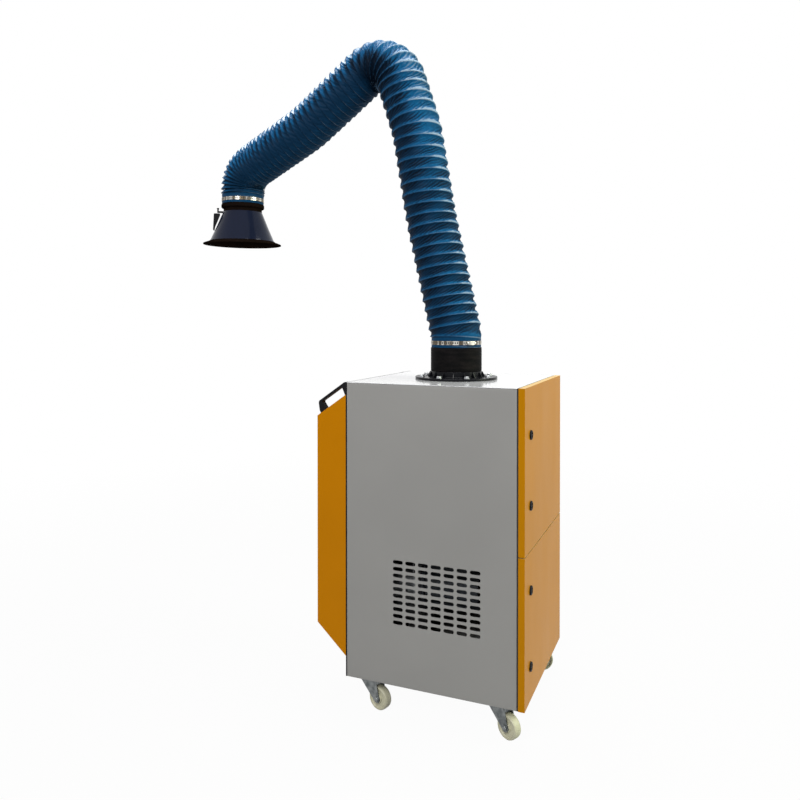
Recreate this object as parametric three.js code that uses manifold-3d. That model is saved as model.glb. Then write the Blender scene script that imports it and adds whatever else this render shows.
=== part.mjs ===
// Mobile welding fume extractor: a sheet steel filter cabinet on four swivel castors,
// with a hose-covered extraction arm that swivels on its top and ends in a hood.
// Millimetres, +Z up. The control end faces -X, the doors face +X, the grille faces -Y.
import * as THREE from 'three';
import { mergeVertices } from 'three/addons/utils/BufferGeometryUtils.js';
import Module from 'manifold-3d';

const wasm = await Module();
wasm.setup();

// Driving dimensions of the cabinet
const bodyWidth = 551;
const bodyDepth = 548;
const bodyHeight = 940;
// Heights and round parts inside keep their share of the cabinet height
const heightUnit = bodyHeight / 940;
const sheet = 2;
const gap = 0.3;
const overrun = 6;
const weld = 0.0005;
const roundSides = 12;
const smallSides = 8;
const wideSides = 24;

// Base, top and end plates
const baseFlange = 40;
const topFlange = 20;
const sideReturn = 22;
const coverSeam = 4;

// Exhaust grille in the near side panel
const slotColumns = 7;
const slotRows = 10;
const slotPitchX = 41.5;
const slotPitchZ = 20.9;
const slotLength = 33;
const slotHeight = 12;
const grilleCentreX = 25.5;
const grilleCentreZ = 293 * heightUnit;

// Cover over the control end
const coverDepth = 106.3;
const coverTopInner = 900 * heightUnit;
const coverTopOuter = 829 * heightUnit;
const coverBottomInner = 64 * heightUnit;
const coverBottomOuter = 158 * heightUnit;
const coverLip = 12;

// Door end
const frameReturn = 25;
const frameBorder = 37;
const frameCorner = 8;
const upperOpeningTop = 905 * heightUnit;
const upperOpeningBottom = 490 * heightUnit;
const lowerOpeningTop = 408 * heightUnit;
const lowerOpeningBottom = 42 * heightUnit;
const sealThickness = 4;
const sealBorder = 14;
const sealInset = 0.3;
const sealHingeInset = 12;
const doorDepth = 19.3;
const doorSplit = 448.5 * heightUnit;
const doorGap = 3;
const doorLip = 12;

// Weld-on pin hinges
const hingeRadius = 6;
const hingePinRadius = 3;
const hingeHalf = 30;
const hingeWeld = 1;
const hingeLeafReach = 26;
const hingePlaces = [0.14, 0.86];

// Quarter-turn door locks
const lockInset = 74;
const lockHeights = [796, 585, 332, 104].map((height) => height * heightUnit);
const lockHeadRadius = 14.5;
const lockHead = 5;
const lockBodyRadius = 9;
const lockShaftRadius = 5;
const lockSlotWidth = 3;
const lockSlotDepth = 2.5;
const tongueThickness = 3;
const tongueWidth = 16;
const tongueLength = 47;
const tongueSetback = 2.5;

// Inner walls and filter
const tubeSheetX = -207;
const floorHeight = 446 * heightUnit;
const railHeight = 20;
const railWidth = 10;
const filterAxisZ = 715 * heightUnit;
const filterLength = 380;
const filterCapRadius = 148 * heightUnit;
const filterCapThickness = 12;
const pleats = 28;
const pleatOuter = 143 * heightUnit;
const pleatInner = 118 * heightUnit;
const filterBore = 98 * heightUnit;
const mouthRadius = 92 * heightUnit;
const clampBridgeWidth = 24;
const clampBossRadius = 12;
const clampBossLength = 18;
const clampRodRadius = 5;
const clampRodTail = 34;
const knobRadius = 28;
const knobThickness = 20;
const knobLobes = 5;
const knobLobeShare = 0.8;
const baffleSize = 240;
const baffleDrop = 60;
const drawerFront = 246;
const drawerHalfWidth = 185;
const drawerHeight = 90 * heightUnit;
const drawerBackGap = 16;
const drawerPullReach = 16;
const drawerPullWidth = 100;
const drawerPullDepth = 12;

// Blower
const fanAxisY = -12;
const fanAxisZ = 250 * heightUnit;
const scrollStart = 118 * heightUnit;
const scrollEnd = 165 * heightUnit;
const scrollSweep = 330;
const scrollSteps = 16;
const scrollWidth = 98;
const scrollGap = 20;
const outletHeight = 95 * heightUnit;
const outletReach = 160;
const inletRadius = 74 * heightUnit;
const inletSlack = 1.4;
const coneThroat = 58 * heightUnit;
const coneFlange = 105 * heightUnit;
const coneMouth = 84 * heightUnit;
const coneDepth = 34;
const impellerRadius = 98 * heightUnit;
const impellerEye = 62 * heightUnit;
const impellerWidth = 62;
const impellerPlate = 2.5;
const bladeCount = 8;
const bladeRoot = 56 * heightUnit;
const bladeSweep = 34;
const bladeThickness = 3;
const hubRadius = 18;
const hubLength = 26;
const shaftRadius = 9.7;
const shaftHoleRadius = 14;
const motorRadius = 74;
const motorFin = 9;
const motorFins = 9;
const motorLength = 190;
const motorBell = 24;
const motorFlangeRadius = 96 * heightUnit;
const motorFlange = 8;
const motorCowl = 40;
const motorBore = 60;
const terminalBox = [76, 84, 46];
const footWidth = 170;
const footPlate = 4;
const footBase = 60;
const footSetback = 50;

// Pulse cleaning
const tankRadius = 44;
const tankLength = 400;
const tankDome = 16;
const tankAxisZ = 300 * heightUnit;
const tankStandoff = 6;
const saddleWidth = 30;
const saddleHeight = 40;
const valveRadius = 32;
const valveHeight = 52;
const valveNeckRadius = 12;
const valveNeck = 14;
const blowPipeRadius = 14;
const blowBend = 40;
const nozzleReach = 44;

// Controls on the sloping face
const plateLength = 84;
const plateWidth = 240;
const plateThickness = 2;
const buttonSpacing = 60;
const buttonRadius = 11;
const buttonHead = 8;
const buttonStemRadius = 7;
const buttonStem = 22;
const buttonTravel = 4;
const bezelRadius = 15;
const bezelHeight = 5;
const bezelBore = 11.6;
const switchRadius = 20;
const switchHeight = 10;
const switchGripWidth = 9;
const switchGripHeight = 14;
const lampRadius = 11;
const lampHeight = 7;

// Bridge handles on the sloping face
const handleInset = 36;
const handleWidth = 24;
const handleHeight = 41;
const handleBar = 8;
const handleFoot = 60;
const handleShoulder = 46;
const handleHeel = 14;
const handleLegInner = 36;
const handleChamfer = 4;
const handleTopReach = 70;
const handleTopFoot = 45;

// Inlets on the lower slope of the cover
const glandRadius = 14;
const glandHex = 8;
const glandDome = 20;
const glandBore = 5.5;
const glandPlace = 150;
const nippleRadius = 8;
const nippleLength = 34;
const nipplePlace = 80;

// Castors
const castorHeight = 105;
const castorX = 212;
const castorY = 220;
const castorPlateX = 92;
const castorPlateY = 66;
const castorPlate = 3;
const kingpinRadius = 9;
const kingpinLength = 9;
const raceRadius = 27;
const raceHeight = 8;
const trail = 36;
const wheelRadius = 37.5;
const wheelWidth = 28;
const wheelSides = 16;
const wheelShoulder = 3;
const wheelDish = 4;
const wheelRim = 8;
const wheelHubRadius = 13;
const wheelBoreGap = 0.4;
const forkThickness = 3;
const forkClearance = 2;
const forkTopWidth = 62;
const forkNose = 12;
const axleRadius = 5;
const axleHeadRadius = 9;
const axleHead = 5;
const castorAngles = [-17, -27, 25, 160];

// Arm flange and swivel sleeve
const flangeRadius = 138;
const flangeThickness = 8;
const flangeCollarHeight = 26;
const flangeCollarRadius = 87;
const gussetCount = 16;
const gussetReach = 97;
const gussetThickness = 3;
const boltCount = 8;
const boltCircle = 118;
const boltRadius = 8;
const boltHead = 7;
const boltSides = 6;
const sleeveBoreRadius = 74.5;
const sleeveBearingRadius = 79.4;
const sleeveRadius = 84;
const sleeveTop = 106;
const spigotRadius = 77.6;
const spigotTop = 140;
const sleeveTail = 22;
const retainerRadius = 84;
const retainerHeight = 5;
const topHoleRadius = 86;

// Inner arm
const armAngle = 170;
const shoulderHeight = 150;
const lowerArmLength = 992;
const lowerArmLean = 14.6;
const upperArmLength = 804.3;
const upperArmDip = 23.06;
const armTubeRadius = 14;
const jointRadius = 22;
const jointThickness = 12;
const cheekThickness = 5;
const jointPinRadius = 5;
const jointPinGap = 0.6;
const jointPinHead = 4;
const bridgeWidth = 26;
const bridgeThickness = 8;

// Hose
const hoseBore = 81;
const hoseCrest = 89;
const hoseValley = 84;
const hoseCuff = 83.2;
const hoseSides = 12;
const straightBoreRibs = 5;
const bentBoreRibs = 2;
const cuffLength = 30;
const hoseEdge = 2;
const shoulderClear = 190;
const elbowClearLower = 185;
const elbowClearUpper = 175;
const hoodClear = 118;
const shoulderFillet = 110;
const lowerBowFillet = 1200;
const upperBowFillet = 500;
const elbowFillet = 110;
const sagFillet = 600;
// A corner of the hose's route: its share of the arm's length, and its share of the crest radius
const lowerBowShares = [0.412, -0.06];
const upperBowShares = [0.732, -0.317];
const elbowShares = [1.057, -0.01];
const sagShares = [0.537, -0.067];
const ribCounts = { base: 4, lower: 15, elbow: 11, upper: 22, hood: 9 };
const bandWidth = 13;
const bandThickness = 1.2;
const bandCentre = 16;
const screwBox = [24, 12, 11];
const baseScrewAngle = 150;
const hoodScrewAngle = -90;

// Hood
const hoodLean = 1;
const gripTurn = 45;
const hoodDrop = 291;
const hoodWall = 3;
const rimRadius = 156.5;
const rimLip = 4;
const brimRise = 14;
const coneFoot = 130.6;
const coneTop = 136;
const neckRadius = 77;
const collarBottom = 146;
const collarTop = 166;
const collarRadius = 86;
const hoodSpigotTop = 206;
const hoodSides = 24;
const hoodFilletShare = 1.098;
const damperShaft = 132;
const damperShaftRadius = 4;
const damperGap = 5;
const damperThickness = 2.5;
const leverReach = 99;
const leverRadius = 3;
const leverHeight = 16;
const grooveFromCone = 7;
const handleWedgeOuter = 115;
const handleWedgeThickness = 26;
const handleWedgeTop = 125;
const handleWedgeFoot = 56;

// Values that follow from the dimensions above
const halfWidth = bodyWidth / 2;
const halfDepth = bodyDepth / 2;
const innerDepth = halfDepth - sheet - gap;
const topUnderside = bodyHeight - sheet - gap;
const baseTop = sheet + gap;
const coverBack = -halfWidth - coverSeam;
const coverFront = -halfWidth - coverDepth;
const doorBack = halfWidth + sealThickness + gap;
const doorFront = doorBack + doorDepth;
const rad = THREE.MathUtils.degToRad;
const hoseDrop = hoodDrop - collarTop - gap;
const hoodFillet = hoodFilletShare * (hoseDrop - cuffLength);

// Materials by finish
function finish(color, roughness, metalness) {
  return new THREE.MeshStandardMaterial({ color, roughness, metalness });
}
const materials = {
  greyPaint: finish(0x92928f, 0.45, 0.1),
  topPaint: finish(0xe8e8e6, 0.3, 0.1),
  yellowPaint: finish(0xb87a10, 0.4, 0.1),
  blackPlastic: finish(0x17171a, 0.4, 0.0),
  blackRubber: finish(0x141416, 0.8, 0.0),
  zinc: finish(0xa8acb0, 0.35, 0.9),
  steel: finish(0xb8b8b4, 0.3, 0.9),
  innerSheet: finish(0x9a9c9e, 0.5, 0.6),
  motorPaint: finish(0x4a5058, 0.5, 0.4),
  filterPaper: finish(0xd8d2bc, 0.9, 0.0),
  hoseCloth: finish(0x17557d, 0.75, 0.0),
  hoodPlastic: finish(0x14161e, 0.2, 0.0),
  wheelNylon: finish(0xb6b494, 0.5, 0.0),
  greenCap: finish(0x1f7a3a, 0.4, 0.0),
  redCap: finish(0xa02018, 0.4, 0.0),
  amberLens: finish(0xd0a020, 0.3, 0.0),
};

// Closed solids from geometries, with their faces turned outwards
function signedVolume(positions, triangles) {
  let total = 0;
  const a = new THREE.Vector3();
  const b = new THREE.Vector3();
  const c = new THREE.Vector3();
  for (let i = 0; i < triangles.length; i += 3) {
    a.fromArray(positions, 3 * triangles[i]);
    b.fromArray(positions, 3 * triangles[i + 1]);
    c.fromArray(positions, 3 * triangles[i + 2]);
    total += a.dot(b.cross(c));
  }
  return total;
}

function solidOf(geometry) {
  const plain = geometry.clone();
  for (const name of Object.keys(plain.attributes)) {
    if (name !== 'position') plain.deleteAttribute(name);
  }
  const welded = mergeVertices(plain, weld);
  const positions = new Float32Array(welded.attributes.position.array);
  const corners = welded.index.array;
  const triangles = [];
  for (let i = 0; i < corners.length; i += 3) {
    const [a, b, c] = [corners[i], corners[i + 1], corners[i + 2]];
    if (a !== b && b !== c && c !== a) triangles.push(a, b, c);
  }
  if (signedVolume(positions, triangles) < 0) triangles.reverse();
  const triVerts = new Uint32Array(triangles);
  return new wasm.Manifold(new wasm.Mesh({ numProp: 3, vertProperties: positions, triVerts }));
}

function geometryOf(solid) {
  const mesh = solid.getMesh();
  const geometry = new THREE.BufferGeometry();
  geometry.setAttribute('position', new THREE.BufferAttribute(mesh.vertProperties, mesh.numProp));
  geometry.setIndex(new THREE.BufferAttribute(mesh.triVerts, 1));
  geometry.computeVertexNormals();
  return geometry;
}

function join(...geometries) {
  return geometryOf(geometries.map(solidOf).reduce((sum, next) => sum.add(next)));
}

function cut(base, ...tools) {
  const all = tools.map(solidOf).reduce((sum, next) => sum.add(next));
  return geometryOf(solidOf(base).subtract(all));
}

function overlap(one, other) {
  return geometryOf(solidOf(one).intersect(solidOf(other)));
}

// Shapes that the pieces share
function block([x0, x1], [y0, y1], [z0, z1]) {
  const geometry = new THREE.BoxGeometry(x1 - x0, y1 - y0, z1 - z0);
  return geometry.translate((x0 + x1) / 2, (y0 + y1) / 2, (z0 + z1) / 2);
}

function rod(axis, radius, [from, to], [u, v] = [0, 0], sides = roundSides) {
  const geometry = new THREE.CylinderGeometry(radius, radius, to - from, sides);
  const middle = (from + to) / 2;
  if (axis === 'x') return geometry.rotateZ(-Math.PI / 2).translate(middle, u, v);
  if (axis === 'y') return geometry.translate(u, middle, v);
  return geometry.rotateX(Math.PI / 2).translate(u, v, middle);
}

function turned(profile, sides = roundSides) {
  const points = profile.map(([r, z]) => new THREE.Vector2(r, z));
  return new THREE.LatheGeometry(points, sides).rotateX(Math.PI / 2);
}

function outline(points) {
  return new THREE.Shape(points.map(([u, v]) => new THREE.Vector2(u, v)));
}

const planeBases = {
  xy: new THREE.Matrix4(),
  xz: new THREE.Matrix4().makeBasis(
    new THREE.Vector3(1, 0, 0), new THREE.Vector3(0, 0, 1), new THREE.Vector3(0, -1, 0)),
  yz: new THREE.Matrix4().makeBasis(
    new THREE.Vector3(0, 1, 0), new THREE.Vector3(0, 0, 1), new THREE.Vector3(1, 0, 0)),
};

function prism(plane, shape, [from, to], curveSegments = 8) {
  const settings = { depth: to - from, bevelEnabled: false, curveSegments };
  const geometry = new THREE.ExtrudeGeometry(shape, settings).applyMatrix4(planeBases[plane]);
  if (plane === 'xz') return geometry.translate(0, to, 0);
  if (plane === 'yz') return geometry.translate(from, 0, 0);
  return geometry.translate(0, 0, from);
}

function rectangle(u0, u1, v0, v1, radius = 0) {
  const shape = new THREE.Shape();
  if (radius === 0) {
    shape.moveTo(u0, v0).lineTo(u1, v0).lineTo(u1, v1).lineTo(u0, v1).lineTo(u0, v0);
    return shape;
  }
  shape.moveTo(u0 + radius, v0);
  shape.lineTo(u1 - radius, v0);
  shape.absarc(u1 - radius, v0 + radius, radius, -Math.PI / 2, 0);
  shape.lineTo(u1, v1 - radius);
  shape.absarc(u1 - radius, v1 - radius, radius, 0, Math.PI / 2);
  shape.lineTo(u0 + radius, v1);
  shape.absarc(u0 + radius, v1 - radius, radius, Math.PI / 2, Math.PI);
  shape.lineTo(u0, v0 + radius);
  shape.absarc(u0 + radius, v0 + radius, radius, Math.PI, 1.5 * Math.PI);
  return shape;
}

function around(count, make) {
  return Array.from({ length: count }, (_, i) => make().rotateZ((i * 2 * Math.PI) / count));
}

// The scene graph, with the body's bottom centre at its root
const group = new THREE.Group();

function piece(name, geometry, material, parent = group) {
  const mesh = new THREE.Mesh(geometryOf(solidOf(geometry)), material);
  mesh.name = name;
  parent.add(mesh);
  return mesh;
}

function frameAt(parent, position, turn = [0, 0, 0]) {
  const frame = new THREE.Group();
  frame.position.set(...position);
  frame.rotation.set(...turn);
  parent.add(frame);
  return frame;
}

// Base pan with turned-up flanges, open at the door end
function baseFrame() {
  const backFlange = [-halfWidth + sheet + gap, -halfWidth + 2 * sheet + gap];
  const flangeX = [backFlange[0], halfWidth - frameReturn - gap];
  const wall = [0, baseFlange];
  return join(
    block([-halfWidth, halfWidth], [-innerDepth, innerDepth], [0, sheet]),
    block(flangeX, [-innerDepth, -innerDepth + sheet], wall),
    block(flangeX, [innerDepth - sheet, innerDepth], wall),
    block(backFlange, [-innerDepth, innerDepth], wall),
  );
}
piece('base_frame', baseFrame(), materials.greyPaint);

// Side panels: a flat sheet with a return at the control end
function sidePanel(side, slots) {
  const face = rectangle(-halfWidth, halfWidth, 0, topUnderside);
  slots.forEach((slot) => face.holes.push(slot));
  const outer = side * halfDepth;
  const inner = side * (halfDepth - sheet);
  const fold = side * (halfDepth - sideReturn);
  const sorted = (a, b) => [Math.min(a, b), Math.max(a, b)];
  return join(
    prism('xz', face, sorted(outer, inner), 3),
    block([-halfWidth, -halfWidth + sheet], sorted(outer, fold), [baseTop, topUnderside]),
  );
}

function grilleSlots() {
  const slots = [];
  const radius = slotHeight / 2;
  const straight = slotLength / 2 - radius;
  const ends = [[straight, -90], [straight, 0], [straight, 90],
    [-straight, 90], [-straight, 180], [-straight, 270]];
  for (let row = 0; row < slotRows; row += 1) {
    for (let column = 0; column < slotColumns; column += 1) {
      const x = grilleCentreX + (column - (slotColumns - 1) / 2) * slotPitchX;
      const z = grilleCentreZ + (row - (slotRows - 1) / 2) * slotPitchZ;
      slots.push(outline(ends.map(([along, angle]) => [
        x + along + radius * Math.cos(rad(angle)), z + radius * Math.sin(rad(angle)),
      ])));
    }
  }
  return slots;
}
piece('near_side_panel', sidePanel(-1, grilleSlots()), materials.greyPaint);

// The far panel also carries the fixed halves of the door hinges
const hingeX = (doorBack + doorFront) / 2;
const hingeY = halfDepth + hingeRadius + gap;
const doorSpans = [[doorSplit + doorGap / 2, bodyHeight], [0, doorSplit - doorGap / 2]];
const hingeHeights = doorSpans.flatMap(([low, high]) =>
  hingePlaces.map((share) => low + share * (high - low)));

function fixedHinge(z) {
  const leafZ = [z - hingeHalf, z];
  const leafTop = halfDepth + gap + sheet;
  return [
    rod('z', hingeRadius, leafZ, [hingeX, hingeY], smallSides),
    rod('z', hingePinRadius, [z - hingeHalf, z + hingeHalf], [hingeX, hingeY], smallSides),
    block([halfWidth - hingeLeafReach, hingeX], [halfDepth + gap, leafTop], leafZ),
    block([halfWidth - hingeLeafReach, halfWidth - gap], [halfDepth - hingeWeld, leafTop], leafZ),
  ];
}
piece('far_side_panel', join(sidePanel(1, []), ...hingeHeights.flatMap(fixedHinge)), materials.greyPaint);

// Top sheet with turned-down edges and the hole for the arm's sleeve
function topPanel() {
  const sides = [-1, 1].map((side) => {
    const edge = side * innerDepth;
    const inner = side * (innerDepth - sheet);
    const x = [-halfWidth + sheet + gap, halfWidth - frameReturn - gap];
    return block(x, [Math.min(edge, inner), Math.max(edge, inner)],
      [bodyHeight - topFlange, bodyHeight - sheet / 2]);
  });
  const plate = block([-halfWidth, halfWidth], [-halfDepth, halfDepth], [bodyHeight - sheet, bodyHeight]);
  const hole = rod('z', topHoleRadius, [bodyHeight - topFlange, bodyHeight + overrun], [0, 0], wideSides);
  return cut(join(plate, ...sides), hole);
}
piece('top_panel', topPanel(), materials.topPaint);

// End plate behind the control cover, with the hole for the blow pipe
const endPlateX = [coverBack + gap, -halfWidth - gap];
const endPlate = cut(
  block(endPlateX, [-halfDepth + gap, halfDepth - gap], [0, bodyHeight]),
  rod('x', blowPipeRadius + gap, [coverBack - overrun, -halfWidth + overrun], [0, filterAxisZ]),
);
piece('end_plate', endPlate, materials.blackPlastic);

// Control end cover: a folded shell with sloping top and bottom
const slopeRun = coverBack - coverFront;
const slopeAngle = Math.atan2(coverTopInner - coverTopOuter, slopeRun);
const slopeMiddle = [(coverBack + coverFront) / 2, 0, (coverTopInner + coverTopOuter) / 2];
const lowerAngle = Math.atan2(coverBottomOuter - coverBottomInner, slopeRun);
const lowerMiddle = [(coverBack + coverFront) / 2, 0, (coverBottomInner + coverBottomOuter) / 2];

function coverOutline(inset, back) {
  const topLift = inset / Math.cos(slopeAngle);
  const bottomLift = inset / Math.cos(lowerAngle);
  const topSlope = Math.tan(slopeAngle);
  const bottomSlope = Math.tan(lowerAngle);
  const front = coverFront + inset;
  const topAt = (x) => coverTopInner - (coverBack - x) * topSlope - topLift;
  const bottomAt = (x) => coverBottomInner + (coverBack - x) * bottomSlope + bottomLift;
  return outline([
    [back, topAt(back)], [front, topAt(front)], [front, bottomAt(front)], [back, bottomAt(back)],
  ]);
}

function slopeHole(radius, s, y) {
  const reach = 4 * sheet;
  const tool = rod('z', radius, [-reach, reach], [s, y], smallSides);
  return tool.rotateY(-slopeAngle).translate(...slopeMiddle);
}

function lowerHole(radius, y) {
  const reach = 4 * sheet;
  const tool = rod('z', radius, [-reach, reach], [0, y], smallSides);
  return tool.rotateY(lowerAngle).translate(...lowerMiddle);
}

const controlPlaces = { switch: -1.5, start: -0.5, stop: 0.5, lamp: 1.5 };
function controlCover() {
  const wide = [-halfDepth, halfDepth];
  const inner = [-halfDepth + sheet, halfDepth - sheet];
  const mouth = [-halfDepth + coverLip, halfDepth - coverLip];
  return cut(
    prism('xz', coverOutline(0, coverBack), wide),
    prism('xz', coverOutline(sheet, coverBack - sheet), inner),
    prism('xz', coverOutline(coverLip, coverBack + overrun), mouth),
    ...Object.values(controlPlaces).map((place) =>
      slopeHole(buttonStemRadius + inletSlack, 0, place * buttonSpacing)),
    lowerHole(nippleRadius + inletSlack, glandPlace),
    lowerHole(nippleRadius + inletSlack, nipplePlace),
  );
}
piece('control_cover', controlCover(), materials.yellowPaint);

// Door frame: a folded surround with the two openings and the bar between them
const openingY = [-halfDepth + frameBorder, halfDepth - frameBorder];
function doorFrame() {
  const face = rectangle(-innerDepth, innerDepth, baseTop, topUnderside);
  face.holes.push(rectangle(...openingY, upperOpeningBottom, upperOpeningTop, frameCorner));
  face.holes.push(rectangle(...openingY, lowerOpeningBottom, lowerOpeningTop, frameCorner));
  const surround = rectangle(-innerDepth, innerDepth, baseTop, topUnderside);
  surround.holes.push(rectangle(
    -innerDepth + sheet, innerDepth - sheet, baseTop + sheet, topUnderside - sheet));
  return join(
    prism('yz', face, [halfWidth - sheet, halfWidth], 3),
    prism('yz', surround, [halfWidth - frameReturn, halfWidth - sheet / 2]),
  );
}
piece('door_frame', doorFrame(), materials.greyPaint);

// Rubber seal on the frame, round both openings
function doorSeal() {
  const near = -halfDepth + sealInset;
  const far = halfDepth - sealHingeInset;
  const bar = sealBorder / 2;
  const shape = rectangle(near, far, sealInset, bodyHeight - sealInset);
  const inner = [near + sealBorder, far - sealBorder];
  shape.holes.push(rectangle(...inner, doorSplit + bar, bodyHeight - sealBorder));
  shape.holes.push(rectangle(...inner, sealBorder, doorSplit - bar));
  return prism('yz', shape, [halfWidth + gap, halfWidth + sealThickness]);
}
piece('door_seal', doorSeal(), materials.blackRubber);

// Doors: pans with a returned lip, lock holes and hinge knuckles
const lockY = -halfDepth + lockInset;
function door([low, high]) {
  const side = halfDepth;
  const inside = [-side + sheet, side - sheet];
  const inner = [-side + doorLip, side - doorLip];
  const locks = lockHeights.filter((z) => z > low && z < high);
  const hinges = hingeHeights.filter((z) => z > low && z < high);
  const knuckles = hinges.flatMap((z) => [
    rod('z', hingeRadius, [z + gap, z + hingeHalf], [hingeX, hingeY], smallSides),
    block([hingeX - hingeRadius, hingeX + hingeRadius], [side - hingeWeld, hingeY - hingeRadius / 2],
      [z + gap, z + hingeHalf]),
  ]);
  const pan = join(block([doorBack, doorFront], [-side, side], [low, high]), ...knuckles);
  return cut(
    pan,
    block([doorBack + sheet, doorFront - sheet], inside, [low + sheet, high - sheet]),
    block([doorBack - overrun, doorFront - 2 * sheet], inner, [low + doorLip, high - doorLip]),
    ...locks.map((z) =>
      rod('x', lockBodyRadius + inletSlack, [doorBack, doorFront + overrun], [lockY, z], 12)),
    ...hinges.map((z) =>
      rod('z', hingePinRadius + gap, [z, z + hingeHalf + overrun], [hingeX, hingeY], smallSides)),
  );
}
piece('upper_door', door(doorSpans[0]), materials.yellowPaint);
piece('lower_door', door(doorSpans[1]), materials.yellowPaint);

// Quarter-turn locks: slotted head, barrel, shaft and tongue, drawn unlocked
function doorLock() {
  const front = doorFront + gap;
  const frameBack = halfWidth - sheet;
  const tongueX = [frameBack - tongueSetback - tongueThickness, frameBack - tongueSetback];
  const half = tongueWidth / 2;
  const body = join(
    rod('x', lockHeadRadius, [front, front + lockHead]),
    rod('x', lockBodyRadius, [doorBack + sheet, front + sheet], [0, 0], 12),
    rod('x', lockShaftRadius, [tongueX[0], doorBack + 2 * sheet], [0, 0], 8),
    block(tongueX, [-half, half], [-tongueLength, half]),
  );
  const slot = block([front + lockHead - lockSlotDepth, front + lockHead + overrun],
    [-lockSlotWidth / 2, lockSlotWidth / 2], [-lockBodyRadius, lockBodyRadius]);
  return cut(body, slot);
}
lockHeights.forEach((z, i) => {
  piece(`door_lock_${i + 1}`, doorLock(), materials.blackPlastic, frameAt(group, [0, lockY, z]));
});

// Tube sheet between the filter chamber and the clean air duct, with the clamp's bridge
const innerWall = innerDepth - sheet - gap;
function tubeSheet() {
  const plate = cut(
    block([tubeSheetX, tubeSheetX + sheet], [-innerWall, innerWall], [baseTop, topUnderside]),
    rod('x', mouthRadius, [tubeSheetX - overrun, tubeSheetX + overrun], [0, filterAxisZ], 16),
    rod('x', coneMouth + inletSlack, [tubeSheetX - overrun, tubeSheetX + overrun],
      [fanAxisY, fanAxisZ], 16),
  );
  const bar = clampBridgeWidth / 2;
  const bridge = join(
    block([tubeSheetX - 2 * sheet, tubeSheetX + sheet / 2],
      [-mouthRadius - bar, mouthRadius + bar], [filterAxisZ - bar, filterAxisZ + bar]),
    rod('x', clampBossRadius, [tubeSheetX - sheet, tubeSheetX + clampBossLength], [0, filterAxisZ], 12),
  );
  const thread = rod('x', clampRodRadius + gap,
    [tubeSheetX, tubeSheetX + clampBossLength + overrun], [0, filterAxisZ], 12);
  return cut(join(plate, bridge), thread);
}
piece('tube_sheet', tubeSheet(), materials.innerSheet);

// Floor of the filter chamber, with the drawer's rails
const floorBack = tubeSheetX + sheet + gap;
const floorFront = halfWidth - frameReturn - gap;
function chamberFloor() {
  const top = floorHeight + sheet;
  const railY = drawerHalfWidth + gap;
  const parts = [block([floorBack, floorFront], [-innerDepth, innerDepth], [floorHeight, top])];
  [-1, 1].forEach((side) => {
    const near = side * railY;
    const far = side * (railY + sheet);
    const foot = side * (railY + railWidth);
    parts.push(block([floorBack, floorFront], [Math.min(near, far), Math.max(near, far)],
      [floorHeight + sheet / 2, top + railHeight]));
    parts.push(block([floorBack, floorFront], [Math.min(near, foot), Math.max(near, foot)],
      [floorHeight + sheet / 2, top + sheet]));
    const edge = side * innerDepth;
    const fold = side * (innerDepth - sheet);
    parts.push(block([floorBack, floorFront], [Math.min(edge, fold), Math.max(edge, fold)],
      [floorHeight - railHeight, floorHeight + sheet / 2]));
  });
  return join(...parts);
}
piece('chamber_floor', chamberFloor(), materials.innerSheet);

// Pleated filter cartridge, lying along X with its open mouth on the tube sheet
const filterBack = tubeSheetX + sheet + gap;
const filterFront = filterBack + filterLength;
function filterCartridge() {
  const points = [];
  for (let i = 0; i < 2 * pleats; i += 1) {
    const radius = i % 2 === 0 ? pleatOuter : pleatInner;
    const angle = (i * Math.PI) / pleats;
    points.push([radius * Math.cos(angle), radius * Math.sin(angle)]);
  }
  const media = outline(points);
  media.holes.push(new THREE.Path().absarc(0, 0, filterBore, 0, 2 * Math.PI));
  const mouthCap = new THREE.Shape().absarc(0, 0, filterCapRadius, 0, 2 * Math.PI);
  mouthCap.holes.push(new THREE.Path().absarc(0, 0, mouthRadius, 0, 2 * Math.PI));
  const frontCap = new THREE.Shape().absarc(0, 0, filterCapRadius, 0, 2 * Math.PI);
  frontCap.holes.push(new THREE.Path().absarc(0, 0, clampRodRadius + gap, 0, 2 * Math.PI));
  const sink = filterCapThickness / 4;
  return join(
    prism('yz', media, [filterBack + filterCapThickness - sink, filterFront - filterCapThickness + sink], 6),
    prism('yz', mouthCap, [filterBack, filterBack + filterCapThickness], 10),
    prism('yz', frontCap, [filterFront - filterCapThickness, filterFront], 10),
  ).translate(0, 0, filterAxisZ);
}
piece('filter_cartridge', filterCartridge(), materials.filterPaper);

// Star knob on its long threaded rod, which clamps the cartridge
function clampScrew() {
  const points = [];
  const steps = 4 * knobLobes;
  for (let i = 0; i < steps; i += 1) {
    const angle = (i * 2 * Math.PI) / steps;
    const wave = (1 + Math.cos(knobLobes * angle)) / 2;
    const radius = knobRadius * (knobLobeShare + (1 - knobLobeShare) * wave);
    points.push([radius * Math.cos(angle), radius * Math.sin(angle)]);
  }
  const knobBack = filterFront + gap;
  return join(
    prism('yz', outline(points), [knobBack, knobBack + knobThickness]),
    rod('x', clampRodRadius, [tubeSheetX + sheet, knobBack + clampRodTail], [0, 0], 12),
  ).translate(0, 0, filterAxisZ);
}
piece('clamp_screw', clampScrew(), materials.blackPlastic);

// Deflector plate hung under the arm's inlet
function bafflePlate() {
  const half = baffleSize / 2;
  const low = bodyHeight - baffleDrop;
  const leg = [low, topUnderside];
  return join(
    block([-half, half], [-half, half], [low, low + sheet]),
    block([-half, half], [-half, -half + sheet], leg),
    block([-half, half], [half - sheet, half], leg),
  );
}
piece('baffle_plate', bafflePlate(), materials.innerSheet);

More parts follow.
